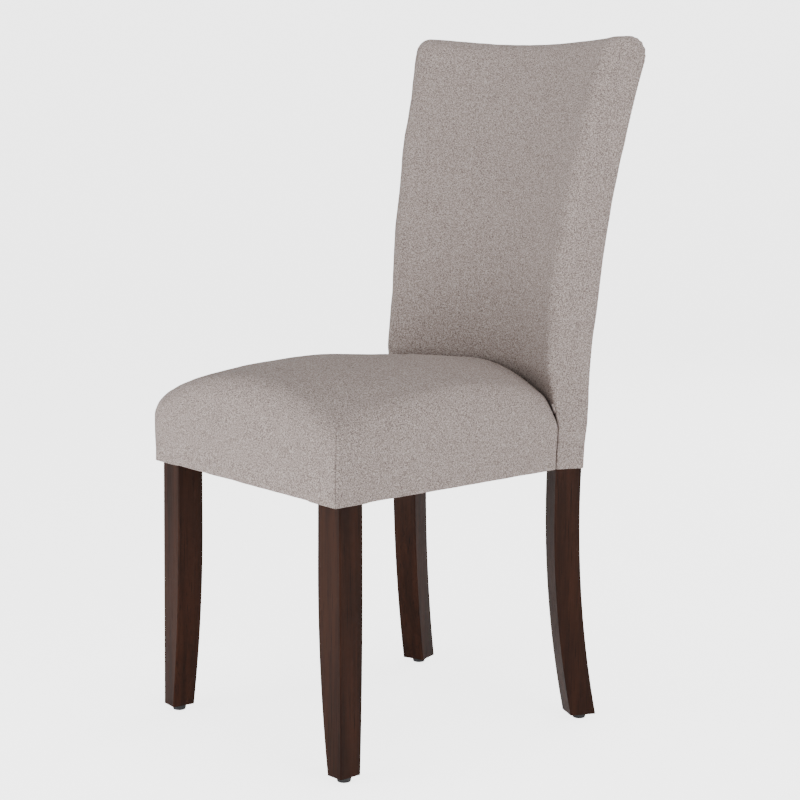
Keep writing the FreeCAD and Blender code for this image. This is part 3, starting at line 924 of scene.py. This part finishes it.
@dataclass(frozen=True)
class Fibre:
    """A fibrous or foamy stuff: wadding, foam, spun cloth or strap."""

    name: str
    light: tuple[float, float, float]
    dark: tuple[float, float, float]
    scale: float
    depth: float
    rough: float = 0.9
    ribs: float = 0.0

    def build(self) -> bpy.types.Material:
        """Makes the finish.

        Returns:
            The material.
        """
        graph = Graph(self.name)
        grain = graph.noise(graph.place, self.scale, 4.0)
        height = grain
        if self.ribs:
            turn = math.pi / self.ribs
            x, y = graph.axis(graph.place, "X"), graph.axis(graph.place, "Y")
            height = grain * 0.4 + ((x * turn).sine() * (y * turn).sine() * 0.5 + 0.5) * 0.6
        patch = graph.noise(graph.place, self.scale / 14, 2.0)
        colour = graph.mix(height.step(0.35, 0.7), self.dark, self.light)
        colour = graph.mix(patch.step(0.45, 0.75) * 0.25, colour, self.dark)
        return graph.finish(
            Base_Color=colour,
            Roughness=self.rough + (grain - 0.5) * 0.12,
            Normal=graph.bump(height, self.depth, 0.8),
        )


@dataclass(frozen=True)
class Hard:
    """Moulded plastic or plated steel with fine handling marks."""

    name: str
    light: tuple[float, float, float]
    dark: tuple[float, float, float]
    metal: float
    rough: float
    scale: float = 260.0

    def build(self) -> bpy.types.Material:
        """Makes the finish.

        Returns:
            The material.
        """
        graph = Graph(self.name)
        grain = graph.noise(graph.place, self.scale, 3.0)
        marks = graph.noise(graph.scaled(1.0, 1.0, 0.2), self.scale * 3, 2.0)
        return graph.finish(
            Base_Color=graph.mix(grain.step(0.35, 0.7), self.dark, self.light),
            Metallic=self.metal,
            Roughness=self.rough + (marks - 0.5) * 0.25,
            Normal=graph.bump(grain, 0.00008, 0.5),
        )


class Finishes:
    """Every finish of the chair, made once and looked up by the record's slot."""

    def __init__(self) -> None:
        """Makes all finishes."""
        self.cover = WovenCover().build()
        self.wood = StainedWood().build()
        raw = dict(deep=(0.40, 0.26, 0.14), warm=(0.62, 0.45, 0.27), pore=(0.28, 0.17, 0.09), gloss=0.0)
        self.rail_x = StainedWood("sawn_wood_across", grain=Grain.ACROSS, **raw).build()
        self.rail_y = StainedWood("sawn_wood_along", grain=Grain.ALONG, **raw).build()
        self.foam = Fibre("foam", (0.84, 0.77, 0.56), (0.66, 0.58, 0.38), 900.0, 0.0006).build()
        self.wadding = Fibre("wadding", (0.92, 0.92, 0.90), (0.78, 0.78, 0.76), 300.0, 0.0012).build()
        self.strap = Fibre(
            "webbing", (0.16, 0.145, 0.125), (0.05, 0.045, 0.04), 500.0, 0.0006, 0.8, 0.0032
        ).build()
        self.spun = Fibre(
            "spun_cloth", (0.030, 0.030, 0.032), (0.012, 0.012, 0.013), 480.0, 0.0003, 0.82, 0.0016
        ).build()
        self.thread = Fibre("thread", (0.20, 0.175, 0.165), (0.10, 0.088, 0.082), 1500.0, 0.0002).build()
        self.steel = Hard("zinc_steel", (0.66, 0.66, 0.63), (0.46, 0.46, 0.44), 1.0, 0.36).build()
        self.plastic = Hard(
            "glide_plastic", (0.022, 0.022, 0.023), (0.010, 0.010, 0.011), 0.0, 0.55
        ).build()


# The chair's parts


@dataclass
class Seat:
    """The seat's cover and its pad."""

    finishes: Finishes
    form: SeatForm = field(default_factory=SeatForm)
    net_size: tuple[float, float, float] = (0.45, 0.43, 0.155)
    net_step: float = 0.0042
    net_fine: float = 0.0008
    hem_turn: float = 0.018
    leg_turn: float = 0.0036
    leg_corner: tuple[float, float] = (0.062, 0.064)
    rear_drop: float = 0.045
    rear_strip: float = 0.011
    seam_top: float = 0.503
    seam_depth: float = 0.0013
    seam_width: float = 0.0011
    lip_height: float = 0.00045
    lip_place: float = 0.0032
    lip_width: float = 0.0018
    pull: float = 0.0006
    swell: float = 0.0007
    ripple: float = 0.00022
    hem_wave: float = 0.00035
    stitch: tuple[float, float, float] = (0.0042, 0.0030, 0.00042)
    stitch_depth: float = 0.0007
    pad_inset: float = 0.0065
    pad_low: float = 0.4520

    def _net(self) -> tuple[np.ndarray, np.ndarray]:
        """The seat's net, fine at the corner seams, the rear and the hem.

        Returns:
            The net's points and its faces.
        """
        width, depth, height = self.net_size
        across = ladder(width, self.net_step, self.net_fine, True, True)
        along = ladder(depth, self.net_step, self.net_fine, True, True)
        up = ladder(height, self.net_step, self.net_fine, True, False)
        return lattice(across, along, up)

    def _shown(self, net: np.ndarray, faces: np.ndarray) -> np.ndarray:
        """Which faces belong to the cover: not the middle of the rear and of the underside.

        Args:
            net: The net's points.
            faces: Its faces.

        Returns:
            True for each face that stays.
        """
        middle = net[faces].mean(axis=1)
        spots = self.form.hull(middle)
        under = middle[:, 2] < NEAR
        behind = middle[:, 1] > 1 - NEAR
        from_side = self.form.side_x(spots[:, 1]) - np.abs(spots[:, 0])
        from_front = spots[:, 1] - (self.form.front_y - self.form.front_wrap)
        edge = np.minimum(from_side, from_front)
        at_leg = (from_side < self.leg_corner[0]) & (from_front < self.leg_corner[1])
        turned = np.where(at_leg, self.leg_turn, self.hem_turn)
        low_rear = spots[:, 2] < self.form.top(spots[:, 0], spots[:, 1]) - self.rear_drop
        return ~(under & (edge > turned)) & ~(behind & low_rear & (from_side > self.rear_strip))

    def _sculpt(self, net: np.ndarray, points: np.ndarray) -> np.ndarray:
        """Seams, small pulls and the cushion's uneven fullness.

        Args:
            net: The net's points.
            points: Their places on the form.

        Returns:
            The places, moved.
        """
        out = self.form.outward(points)
        z = points[:, 2]
        across = np.minimum(net[:, 0], 1 - net[:, 0]) * self.net_size[0]
        along = net[:, 1] * self.net_size[1]
        seam = np.hypot(across, along)
        upto = 1 - ease(z, self.seam_top - 0.012, self.seam_top + 0.004)
        move = -self.seam_depth * bell(seam, self.seam_width) * upto
        move += self.lip_height * bell(seam - self.lip_place, self.lip_width) * upto
        near = bell(seam, 0.045) * ease(z, 0.43, 0.50) * (1 - ease(z, 0.52, 0.54))
        move += self.pull * near * waves(points, 0.022, 5)
        loose = ease(z, 0.40, 0.43)
        move += self.swell * waves(points, 0.11, 11) * loose
        move += self.ripple * waves(points, 0.034, 12) * loose
        hem = bell(z - 0.392, 0.006)
        move += self.hem_wave * hem * waves(points * np.array([1, 1, 0.1]), 0.05, 13)
        return points + out * move[:, None]

    def cover(self) -> bpy.types.Object:
        """The cover: one sheet over front, sides and top, turned under the rails.

        Returns:
            The cover as one piece.
        """
        net, faces = self._net()
        points = self._sculpt(net, self.form.cast(net))
        piece = mesh_piece("seat_cover_cloth", points, faces[self._shown(net, faces)])
        clothe(piece, self.finishes.cover)
        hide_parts("seat_cover", "seat_wadding")
        return piece

    def pad(self) -> bpy.types.Object:
        """The foam below the cover, a closed crowned block.

        Returns:
            The foam as one piece.
        """
        form = SeatForm(inset=self.pad_inset, low=self.pad_low)
        net, faces = lattice(
            ladder(self.net_size[0], 0.012, 0.006, True, True),
            ladder(self.net_size[1], 0.012, 0.006, True, True),
            ladder(0.09, 0.010, 0.005, True, True),
        )
        piece = mesh_piece("seat_foam_pad", form.cast(net), faces)
        smooth(piece)
        settle(piece, self.finishes.foam)
        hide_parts("seat_foam")
        return piece

    def corner_seam(self, side: Side) -> bpy.types.Object:
        """Stitches along the upright seam of a front corner.

        Args:
            side: Which side of the chair.

        Returns:
            The stitches as one piece.
        """
        up = np.linspace(0.035, 0.70, 88)
        across = 1.0 if side is Side.RIGHT else 0.0
        net = np.stack([np.full_like(up, across), np.zeros_like(up), up], axis=1)
        line = self.form.cast(net)
        line = line[line[:, 2] < self.seam_top - 0.004]
        line = line - self.form.outward(line) * self.stitch_depth
        return stitches(f"corner_seam_{side.name.lower()}", line, *self.stitch, self.finishes)


def stitches(
    name: str, line: np.ndarray, pitch: float, length: float, radius: float, finishes: Finishes
) -> bpy.types.Object:
    """A row of short thread stitches along a line.

    Args:
        name: The piece's name.
        line: Points that the row follows.
        pitch: Distance from one stitch to the next.
        length: Length of a stitch.
        radius: Thickness of the thread, halved.
        finishes: Where the thread's finish comes from.

    Returns:
        The row as one piece.
    """
    steps = np.linalg.norm(np.diff(line, axis=0), axis=1)
    run = np.concatenate([[0.0], np.cumsum(steps)])
    starts = np.arange(pitch / 2, run[-1] - length, pitch)
    curve = bpy.data.curves.new(name, "CURVE")
    curve.dimensions = "3D"
    curve.bevel_depth = radius
    curve.bevel_resolution = 1
    curve.use_fill_caps = True
    for start in starts:
        spline = curve.splines.new("POLY")
        spline.points.add(3)
        for spot, share in zip(spline.points, (0.0, 0.3, 0.7, 1.0)):
            at = start + share * length
            place = [np.interp(at, run, line[:, k]) for k in range(3)]
            spot.co = (*place, 1.0)
            spot.radius = 0.55 if share in (0.0, 1.0) else 1.0
    row = bpy.data.objects.new(name, curve)
    bpy.context.scene.collection.objects.link(row)
    only(row)
    bpy.ops.object.convert(target="MESH")
    smooth(row, 70)
    return settle(row, finishes.thread)


@dataclass
class Back:
    """The back's cover, its rear panel and its pad."""

    finishes: Finishes
    form: BackForm = field(default_factory=BackForm)
    net_size: tuple[float, float, float] = (0.43, 0.069, 0.63)
    net_steps: tuple[float, float, float] = (0.0040, 0.0036, 0.0041)
    net_fine: float = 0.0009
    front_low: float = 0.472
    front_strip: float = 0.007
    hem_strip: float = 0.0034
    overlap: float = 0.004
    panel_edge: float = 0.0095
    panel_drop: float = 0.042
    panel_reach: float = 0.55
    swell: float = 0.0008
    ripple: float = 0.00022
    gather: float = 0.0007
    gather_pitch: float = 0.0075
    fold: float = 0.0016
    fold_width: float = 0.0026
    stitch: tuple[float, float, float] = (0.0068, 0.0024, 0.00036)
    pad_low: float = 0.545
    pad_drop: float = 0.030
    pad_turn: float = 0.020
    pad_round: float = 0.010

    def _shown(self, net: np.ndarray, faces: np.ndarray) -> np.ndarray:
        """Which faces the wrapped cover keeps.

        Args:
            net: The net's points.
            faces: Its faces.

        Returns:
            True for each face that stays.
        """
        middle = net[faces].mean(axis=1)
        spots = self.form.hull(middle)
        under = middle[:, 2] < NEAR
        ahead = middle[:, 1] < NEAR
        behind = middle[:, 1] > 1 - NEAR
        from_side = np.minimum(middle[:, 0], 1 - middle[:, 0]) * self.net_size[0]
        low_front = ahead & (spots[:, 2] < self.front_low) & (from_side > self.front_strip)
        inner_rear = behind & (from_side > self.panel_edge + self.overlap)
        inner_rear &= spots[:, 2] < self.form.crest - self.panel_drop - self.overlap
        inner_under = under & (from_side > self.hem_strip)
        return ~low_front & ~inner_rear & ~inner_under

    def _sculpt(self, points: np.ndarray) -> np.ndarray:
        """The cushion's uneven fullness and the gathers at the crest's corners.

        Args:
            points: Places on the form.

        Returns:
            The places, moved.
        """
        out = self.form.outward(points)
        z = points[:, 2]
        angle, shift = CURVE.measure(points)
        move = self.swell * waves(points, 0.13, 21) * ease(z, 0.46, 0.52)
        move += self.ripple * waves(points, 0.036, 22) * ease(z, 0.42, 0.46)
        corner = bell(np.abs(angle) - CURVE.turn, 0.045)
        corner *= ease(z, 0.972, 0.992) * ease(shift, -0.045, -0.018)
        turn = z * 2 * math.pi / self.gather_pitch + 3 * np.sin(shift * 160)
        move += self.gather * corner * np.sin(turn)
        return points + out * move[:, None]

    def cover(self) -> bpy.types.Object:
        """The wrapped cover: front, sides and crest, turned on to the rear.

        Returns:
            The cover as one piece.
        """
        ends = ((True, True), (True, True), (True, False))
        sides = [
            ladder(size, step, self.net_fine, *end)
            for size, step, end in zip(self.net_size, self.net_steps, ends)
        ]
        net, faces = lattice(*sides)
        points = self._sculpt(self.form.cast(net))
        piece = mesh_piece("back_cover_cloth", points, faces[self._shown(net, faces)])
        clothe(piece, self.finishes.cover)
        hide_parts("inside_back_cover")
        return piece

    def pad(self) -> bpy.types.Object:
        """The foam on the front of the posts and rails, a closed curved slab.

        Returns:
            The foam as one piece.
        """
        front = self.form.front + 0.004
        rear = -POST_DEPTH - 0.002
        net, faces = lattice(
            ladder(self.net_size[0], 0.012, 0.006, True, True),
            ladder(0.020, 0.008, 0.004, False, False),
            ladder(0.52, 0.012, 0.006, True, True),
        )
        angle = (2 * net[:, 0] - 1) * (CURVE.turn - self.pad_turn)
        z = self.pad_low + net[:, 2] * (self.form.crest_at(angle) - self.pad_drop - self.pad_low)
        from_side = np.minimum(net[:, 0], 1 - net[:, 0]) * self.net_size[0]
        edge = np.minimum(from_side, (1 - net[:, 2]) * 0.45)
        soft = self.pad_round * (1 - ease(edge, 0.0, 0.03)) * (1 - net[:, 1])
        points = CURVE.place(angle, front + soft + net[:, 1] * (rear - front), z)
        piece = mesh_piece("back_foam_pad", points, faces)
        smooth(piece)
        settle(piece, self.finishes.foam)
        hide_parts("back_foam")
        return piece

    def _panel_place(self, across: np.ndarray, up: np.ndarray) -> np.ndarray:
        """Points of the rear panel, with its edges folded under.

        Args:
            across: Shares from the left side to the right side.
            up: Shares from the hem to the upper edge.

        Returns:
            The points, one in each row.
        """
        half = CURVE.turn - (self.panel_edge - self.form.side) / self.panel_reach
        angle = (2 * across - 1) * half
        top = self.form.crest - self.panel_drop
        height = top - self.form.low
        z = self.form.low + up * height
        points = CURVE.place(angle, np.full_like(z, self.form.rear), z)
        from_side = np.minimum(across, 1 - across) * 2 * half * self.panel_reach
        edge = np.minimum(from_side, (1 - up) * height)
        turned = 1 - np.clip(edge / self.fold_width, 0, 1)
        fold = self.fold * np.sqrt(np.clip(1 - turned**2, 0, 1))
        middle = ease(z, 0.52, 0.66) * (1 - ease(z, 0.86, 1.0))
        lift = fold + 0.0002 + self.form.full_rear * middle
        lift = lift - self.form.tuck_rear * (1 - ease(z, 0.42, 0.46))
        lift = lift + 0.0005 * waves(points, 0.12, 31) * ease(edge, 0.0, 0.03)
        pucker = np.sin(angle * self.panel_reach * 2 * math.pi / 0.011)
        lift = lift + 0.00025 * pucker * bell(edge, 0.006)
        return CURVE.place(angle, self.form.rear + lift, z)

    def rear_panel(self) -> bpy.types.Object:
        """The rear panel: one flat sheet, its edges folded under and slip-stitched.

        Returns:
            The panel as one piece.
        """
        across = ladder(0.41, 0.0060, 0.0009, True, True)
        up = ladder(0.588, 0.0065, 0.0009, True, True)
        grid_a, grid_u = np.meshgrid(across, up, indexing="ij")
        points = self._panel_place(grid_a.ravel(), grid_u.ravel())
        number = np.arange(grid_a.size).reshape(grid_a.shape)
        ring = [number[:-1, :-1], number[:-1, 1:], number[1:, 1:], number[1:, :-1]]
        faces = np.stack([part.ravel() for part in ring], axis=1)
        piece = mesh_piece("rear_panel_cloth", points, faces)
        clothe(piece, self.finishes.cover)
        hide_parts("outside_back_cover", "back_wadding")
        return piece

    def panel_stitches(self) -> bpy.types.Object:
        """Slip stitches round the rear panel's sides and upper edge.

        Returns:
            The stitches as one piece.
        """
        run = np.linspace(0.004, 0.9985, 220)
        over = np.linspace(0.0015, 0.9985, 160)
        up = self._panel_place(np.full_like(run, 0.0012), run)
        across = self._panel_place(over, np.full_like(over, 0.9990))
        down = self._panel_place(np.full_like(run, 0.9988), run[::-1])
        line = np.concatenate([up, across, down])
        return stitches("rear_panel_stitches", line, *self.stitch, self.finishes)


@dataclass
class TuckFold:
    """The narrow fold of cloth that shows where the seat's shoulder meets the back."""

    finishes: Finishes
    low: float = 0.474
    high: float = 0.545
    radius: float = 0.0017
    lift: float = 0.0022
    proud: float = 0.0012
    start: float = 0.60
    depth: float = 0.985

    def build(self, side: Side) -> bpy.types.Object:
        """Makes the fold on one side of the chair.

        Args:
            side: Which side of the chair.

        Returns:
            The fold as one piece.
        """
        seat = SeatForm()
        up = np.linspace(self.start, 1.0, 60)
        net = np.stack([np.ones_like(up), np.full_like(up, self.depth), up], axis=1)
        line = seat.cast(net)
        line = line + seat.outward(line) * self.lift
        keep = (line[:, 2] > self.low) & (line[:, 2] < self.high)
        line = line[keep]
        z = line[:, 2]
        reach = CURVE.radius + CURVE.set_back(z) + joint_shift(z) - self.proud
        line[:, 1] = CURVE.line_y + np.sqrt(reach**2 - line[:, 0] ** 2)
        line[:, 0] *= side.value
        curve = bpy.data.curves.new("tuck", "CURVE")
        curve.dimensions = "3D"
        curve.bevel_depth = self.radius
        curve.bevel_resolution = 3
        curve.use_fill_caps = True
        spline = curve.splines.new("NURBS")
        spline.points.add(len(line) - 1)
        for spot, place, share in zip(spline.points, line, np.linspace(0, 1, len(line))):
            spot.co = (*place, 1.0)
            spot.radius = float(min(1.0, 6 * share, 6 * (1 - share)) * 0.9 + 0.1)
        spline.order_u = 3
        spline.use_endpoint_u = True
        row = bpy.data.objects.new(f"tuck_fold_{side.name.lower()}", curve)
        bpy.context.scene.collection.objects.link(row)
        only(row)
        bpy.ops.object.convert(target="MESH")
        smooth(row, 70)
        return settle(row, self.finishes.cover)


@dataclass
class Underside:
    """The thin cloth under the seat and the staples that hold it."""

    finishes: Finishes
    seat: SeatForm = field(default_factory=SeatForm)
    top: float = 0.3880
    sheet: float = 0.0005
    inset: float = 0.008
    leg_width: float = 0.051
    leg_depth: float = 0.046
    post_turn: float = 0.092
    post_depth: float = 0.462
    post_gap: float = 0.004
    sag: float = 0.0030
    pucker: float = 0.0009
    hold: float = 0.005
    staple: tuple[float, float, float] = (0.0100, 0.0011, 0.0007)
    staple_legs: float = 0.0009
    staple_drop: float = 0.0014

    def _side(self, y: float) -> float:
        """Half width of the sheet at a depth."""
        return float(self.seat.side_x(np.array([y]))[0]) - self.seat.side_wrap - self.inset

    def _reach(self) -> float:
        """Distance from the barrel line to the sheet's rear edge."""
        return CURVE.radius + float(CURVE.set_back(np.array([self.top]))[0]) - self.inset

    def _outline(self) -> list[tuple[float, float]]:
        """The sheet's outline, notched round legs and posts, in the order of its corners.

        Returns:
            Places across and along the chair.
        """
        front = self.seat.front_y + self.inset
        leg_x = self._side(front) - self.leg_width + self.inset
        leg_y = front + self.leg_depth - self.inset
        reach = self._reach()
        post_angle = CURVE.turn - self.post_turn
        post_y = CURVE.line_y + self.post_depth
        right = [
            (leg_x, front),
            (leg_x, leg_y),
            (self._side(front + self.leg_depth), leg_y),
            (self._side(post_y), post_y),
        ]
        arc = [
            (reach * math.sin(a), CURVE.line_y + reach * math.cos(a))
            for a in np.linspace(post_angle, 0.0, 12)
        ]
        inner = (arc[0][0] - self.post_gap, post_y)
        half = right + [inner] + arc
        mirrored = [(-x, y) for x, y in reversed(half[:-1])]
        return half + mirrored

    def cloth(self) -> bpy.types.Object:
        """The sheet, drawn tight and slightly slack in its middle.

        Returns:
            The sheet as one piece.
        """
        outline = self._outline()
        shape = bmesh.new()
        ring = [shape.verts.new((x, y, self.top)) for x, y in outline]
        shape.faces.new(ring)
        for axis, lines in ((0, np.arange(-0.20, 0.201, 0.0125)), (1, np.arange(-0.27, 0.22, 0.0125))):
            normal = (1, 0, 0) if axis == 0 else (0, 1, 0)
            for place in lines:
                point = (place, 0, 0) if axis == 0 else (0, place, 0)
                geometry = shape.verts[:] + shape.edges[:] + shape.faces[:]
                bmesh.ops.bisect_plane(shape, geom=geometry, plane_co=point, plane_no=normal, dist=MERGE)
        mesh = bpy.data.meshes.new("dust_sheet")
        shape.to_mesh(mesh)
        shape.free()
        piece = bpy.data.objects.new("dust_sheet", mesh)
        bpy.context.scene.collection.objects.link(piece)
        places = np.array([vertex.co for vertex in mesh.vertices])
        middle = (1 - (places[:, 0] / 0.205) ** 2) * (1 - ((places[:, 1] + 0.045) / 0.215) ** 2)
        places[:, 2] -= self.sag * np.clip(middle, 0, 1) ** 0.8
        edge = 1 - np.clip(middle, 0, 1) ** 0.25
        places[:, 2] -= self.pucker * edge * (0.5 + 0.5 * waves(places, 0.045, 41)).clip(0, 1)
        for vertex, place in zip(mesh.vertices, places):
            vertex.co = place
        only(piece)
        bpy.ops.object.mode_set(mode="EDIT")
        bpy.ops.mesh.select_all(action="SELECT")
        bpy.ops.mesh.normals_make_consistent(inside=False)
        bpy.ops.object.mode_set(mode="OBJECT")
        if sum(face.normal.z for face in mesh.polygons) > 0:
            mesh.flip_normals()
        modify(piece, "SOLIDIFY", thickness=self.sheet, offset=-1.0)
        smooth(piece)
        settle(piece, self.finishes.spun)
        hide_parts("dust_cover")
        return piece

    def staples(self) -> bpy.types.Object:
        """Wire staples along the sheet's edges.

        Returns:
            The staples as one piece.
        """
        spots: list[tuple[float, float, float]] = []
        front = self.seat.front_y + self.inset + self.hold
        for x in np.linspace(-0.150, 0.150, 8):
            spots.append((x, front, 0.0))
        for y in np.linspace(-0.205, 0.090, 8):
            half = self._side(y) - self.hold
            spots.extend([(half, y, math.pi / 2), (-half, y, math.pi / 2)])
        reach = self._reach() - self.hold
        for angle in np.linspace(-0.27, 0.27, 7):
            spots.append((reach * math.sin(angle), CURVE.line_y + reach * math.cos(angle), -angle))
        parts = []
        for x, y, turn in spots:
            bpy.ops.object.select_all(action="DESELECT")
            bpy.ops.mesh.primitive_cube_add(size=1.0, location=(0, 0, 0))
            part = bpy.context.active_object
            part.scale = self.staple
            bpy.ops.object.transform_apply(location=False, rotation=False, scale=True)
            modify(part, "BEVEL", width=0.00028, segments=2)
            for vertex in part.data.vertices:
                vertex.co.z += self.staple_legs * (abs(vertex.co.x) / (self.staple[0] / 2)) ** 4
            part.rotation_euler = (0, 0, turn)
            part.location = (x, y, self.top - self.sheet - self.staple_drop)
            bpy.ops.object.transform_apply(location=True, rotation=True, scale=True)
            parts.append(part)
        row = join("dust_sheet_staples", parts)
        smooth(row, 60)
        return settle(row, self.finishes.steel)


@dataclass
class Woodwork:
    """The frame's own pieces, which keep their solid shapes and get better finishes."""

    finishes: Finishes

    def dress(self) -> None:
        """Gives every solid that stays its finish."""
        f = self.finishes
        finish_of = {
            "espresso_wood": f.wood,
            "foam": f.foam,
            "wadding": f.wadding,
            "webbing": f.strap,
            "dust_cloth": f.spun,
            "cover_fabric": f.cover,
            "zinc_steel": f.steel,
            "glide_plastic": f.plastic,
        }
        slots = {row["node"]: row["material_slot"] for row in frame["record"]["subparts"]}
        for name, node in frame["nodes"].items():
            along = name.startswith("side_rail")
            finish = finish_of.get(slots[name], f.rail_y if along else f.rail_x)
            node.data.materials.clear()
            node.data.materials.append(finish)
            log.info("%s: %s", name, finish.name)


@dataclass
class Studio:
    """A pale floor that curves up into a pale wall, soft lights and the camera."""

    eye: tuple[float, float, float] = (2.379025, -1.912940, 0.949500)
    azimuth: float = math.radians(51.294)
    pitch: float = math.radians(8.74)
    roll: float = math.radians(0.441)
    lens: float = 92.78
    glow: float = 0.116
    backdrop: float = 3.2
    sky: float = 0.10
    target: tuple[float, float, float] = (0.0, 0.0, 0.5)

    def camera(self) -> None:
        """Puts the camera where the photograph was taken from."""
        a, p, r = self.azimuth, self.pitch, self.roll
        right = Vector((math.cos(a), math.sin(a), 0))
        ahead = Vector((-math.sin(a) * math.cos(p), math.cos(a) * math.cos(p), -math.sin(p)))
        up = right.cross(ahead)
        turned_right = math.cos(r) * right + math.sin(r) * up
        turned_up = -math.sin(r) * right + math.cos(r) * up
        data = bpy.data.cameras.new("camera")
        data.lens = self.lens
        data.sensor_width = 36.0
        data.clip_start, data.clip_end = 0.05, 60
        camera = bpy.data.objects.new("camera", data)
        bpy.context.scene.collection.objects.link(camera)
        axes = Matrix((turned_right, turned_up, -ahead)).transposed().to_4x4()
        camera.matrix_world = Matrix.Translation(self.eye) @ axes
        bpy.context.scene.camera = camera

    def floor(self) -> None:
        """Makes the floor and the wall round it as one turned sheet."""
        profile = [(0.0, 0.0), (2.0, 0.0), (4.5, 0.0), (6.0, 0.0)]
        profile += [(6.0 + 3.0 * math.sin(t), 3.0 - 3.0 * math.cos(t)) for t in np.linspace(0.1, 1.5, 12)]
        profile += [(9.1, 4.5), (9.1, 7.0)]
        bpy.ops.object.select_all(action="DESELECT")
        mesh = bpy.data.meshes.new("floor")
        mesh.from_pydata([(x, 0, z) for x, z in profile], [(k, k + 1) for k in range(len(profile) - 1)], [])
        sweep = bpy.data.objects.new("floor", mesh)
        bpy.context.scene.collection.objects.link(sweep)
        modify(sweep, "SCREW", steps=96, render_steps=96, use_merge_vertices=True)
        smooth(sweep, 80)
        if sweep.data.polygons[0].normal.z < 0:
            sweep.data.flip_normals()
        graph = Graph("studio_white")
        cloud = graph.noise(graph.place, 1.5, 2.0)
        colour = graph.mix(cloud, (0.88, 0.88, 0.88), (0.91, 0.91, 0.91))
        seen = Value(graph, graph.node("ShaderNodeLightPath").outputs["Is Camera Ray"])
        light = graph.mix(seen, (self.glow, self.glow, self.glow), (1.0, 1.0, 1.0))
        settings = {"Base Color": colour, "Roughness": 0.95, "Emission Color": light}
        settings |= {"Emission Strength": self.backdrop, "Specular IOR Level": 0.1}
        paint = graph.node("ShaderNodeBsdfPrincipled", {}, settings)
        clear = graph.node("ShaderNodeBsdfTransparent")
        away = graph.node("ShaderNodeNewGeometry").outputs["Backfacing"]
        both = graph.node("ShaderNodeMixShader", {}, {0: away, 1: paint.outputs[0], 2: clear.outputs[0]})
        graph.links.new(both.outputs[0], graph.output.inputs["Surface"])
        sweep.data.materials.append(graph.material)

    def lamp(self, name: str, place: tuple[float, float, float], size: float, power: float) -> None:
        """Adds one soft square lamp that faces the chair.

        Args:
            name: Its name.
            place: Where it stands.
            size: Length of its side.
            power: Its power in watts.
        """
        data = bpy.data.lights.new(name, "AREA")
        data.shape = "SQUARE"
        data.size = size
        data.energy = power
        lamp = bpy.data.objects.new(name, data)
        bpy.context.scene.collection.objects.link(lamp)
        lamp.location = place
        aim = Vector(self.target) - Vector(place)
        lamp.rotation_euler = aim.to_track_quat("-Z", "Y").to_euler()

    def lights(self) -> None:
        """A low soft light from the front, one from the right, a rear one, a high one and a dim sky."""
        self.lamp("key", (-0.15, -1.7, 0.32), 1.1, 26.5)
        self.lamp("side", (3.1, 0.1, 1.1), 1.4, 49)
        self.lamp("rear", (-0.8, 3.4, 2.0), 2.2, 40)
        self.lamp("overhead", (0.30, 0.00, 2.9), 1.4, 34)
        world = bpy.data.worlds.new("studio")
        world.use_nodes = True
        ground = world.node_tree.nodes["Background"]
        ground.inputs["Color"].default_value = (1.0, 1.0, 1.0, 1.0)
        ground.inputs["Strength"].default_value = self.sky
        bpy.context.scene.world = world

    def build(self) -> None:
        """Sets up the whole studio."""
        self.camera()
        self.floor()
        self.lights()


def main() -> None:
    """Builds the chair's pieces in order."""
    logging.basicConfig(level=logging.INFO, format="%(name)s %(message)s")
    Studio().build()
    finishes = Finishes()
    Woodwork(finishes).dress()
    seat = Seat(finishes)
    seat.cover()
    seat.pad()
    back = Back(finishes)
    back.cover()
    back.pad()
    back.rear_panel()
    back.panel_stitches()
    for side in Side:
        seat.corner_seam(side)
        TuckFold(finishes).build(side)
    underside = Underside(finishes)
    underside.cloth()
    underside.staples()


if __name__ == "__main__":
    main()
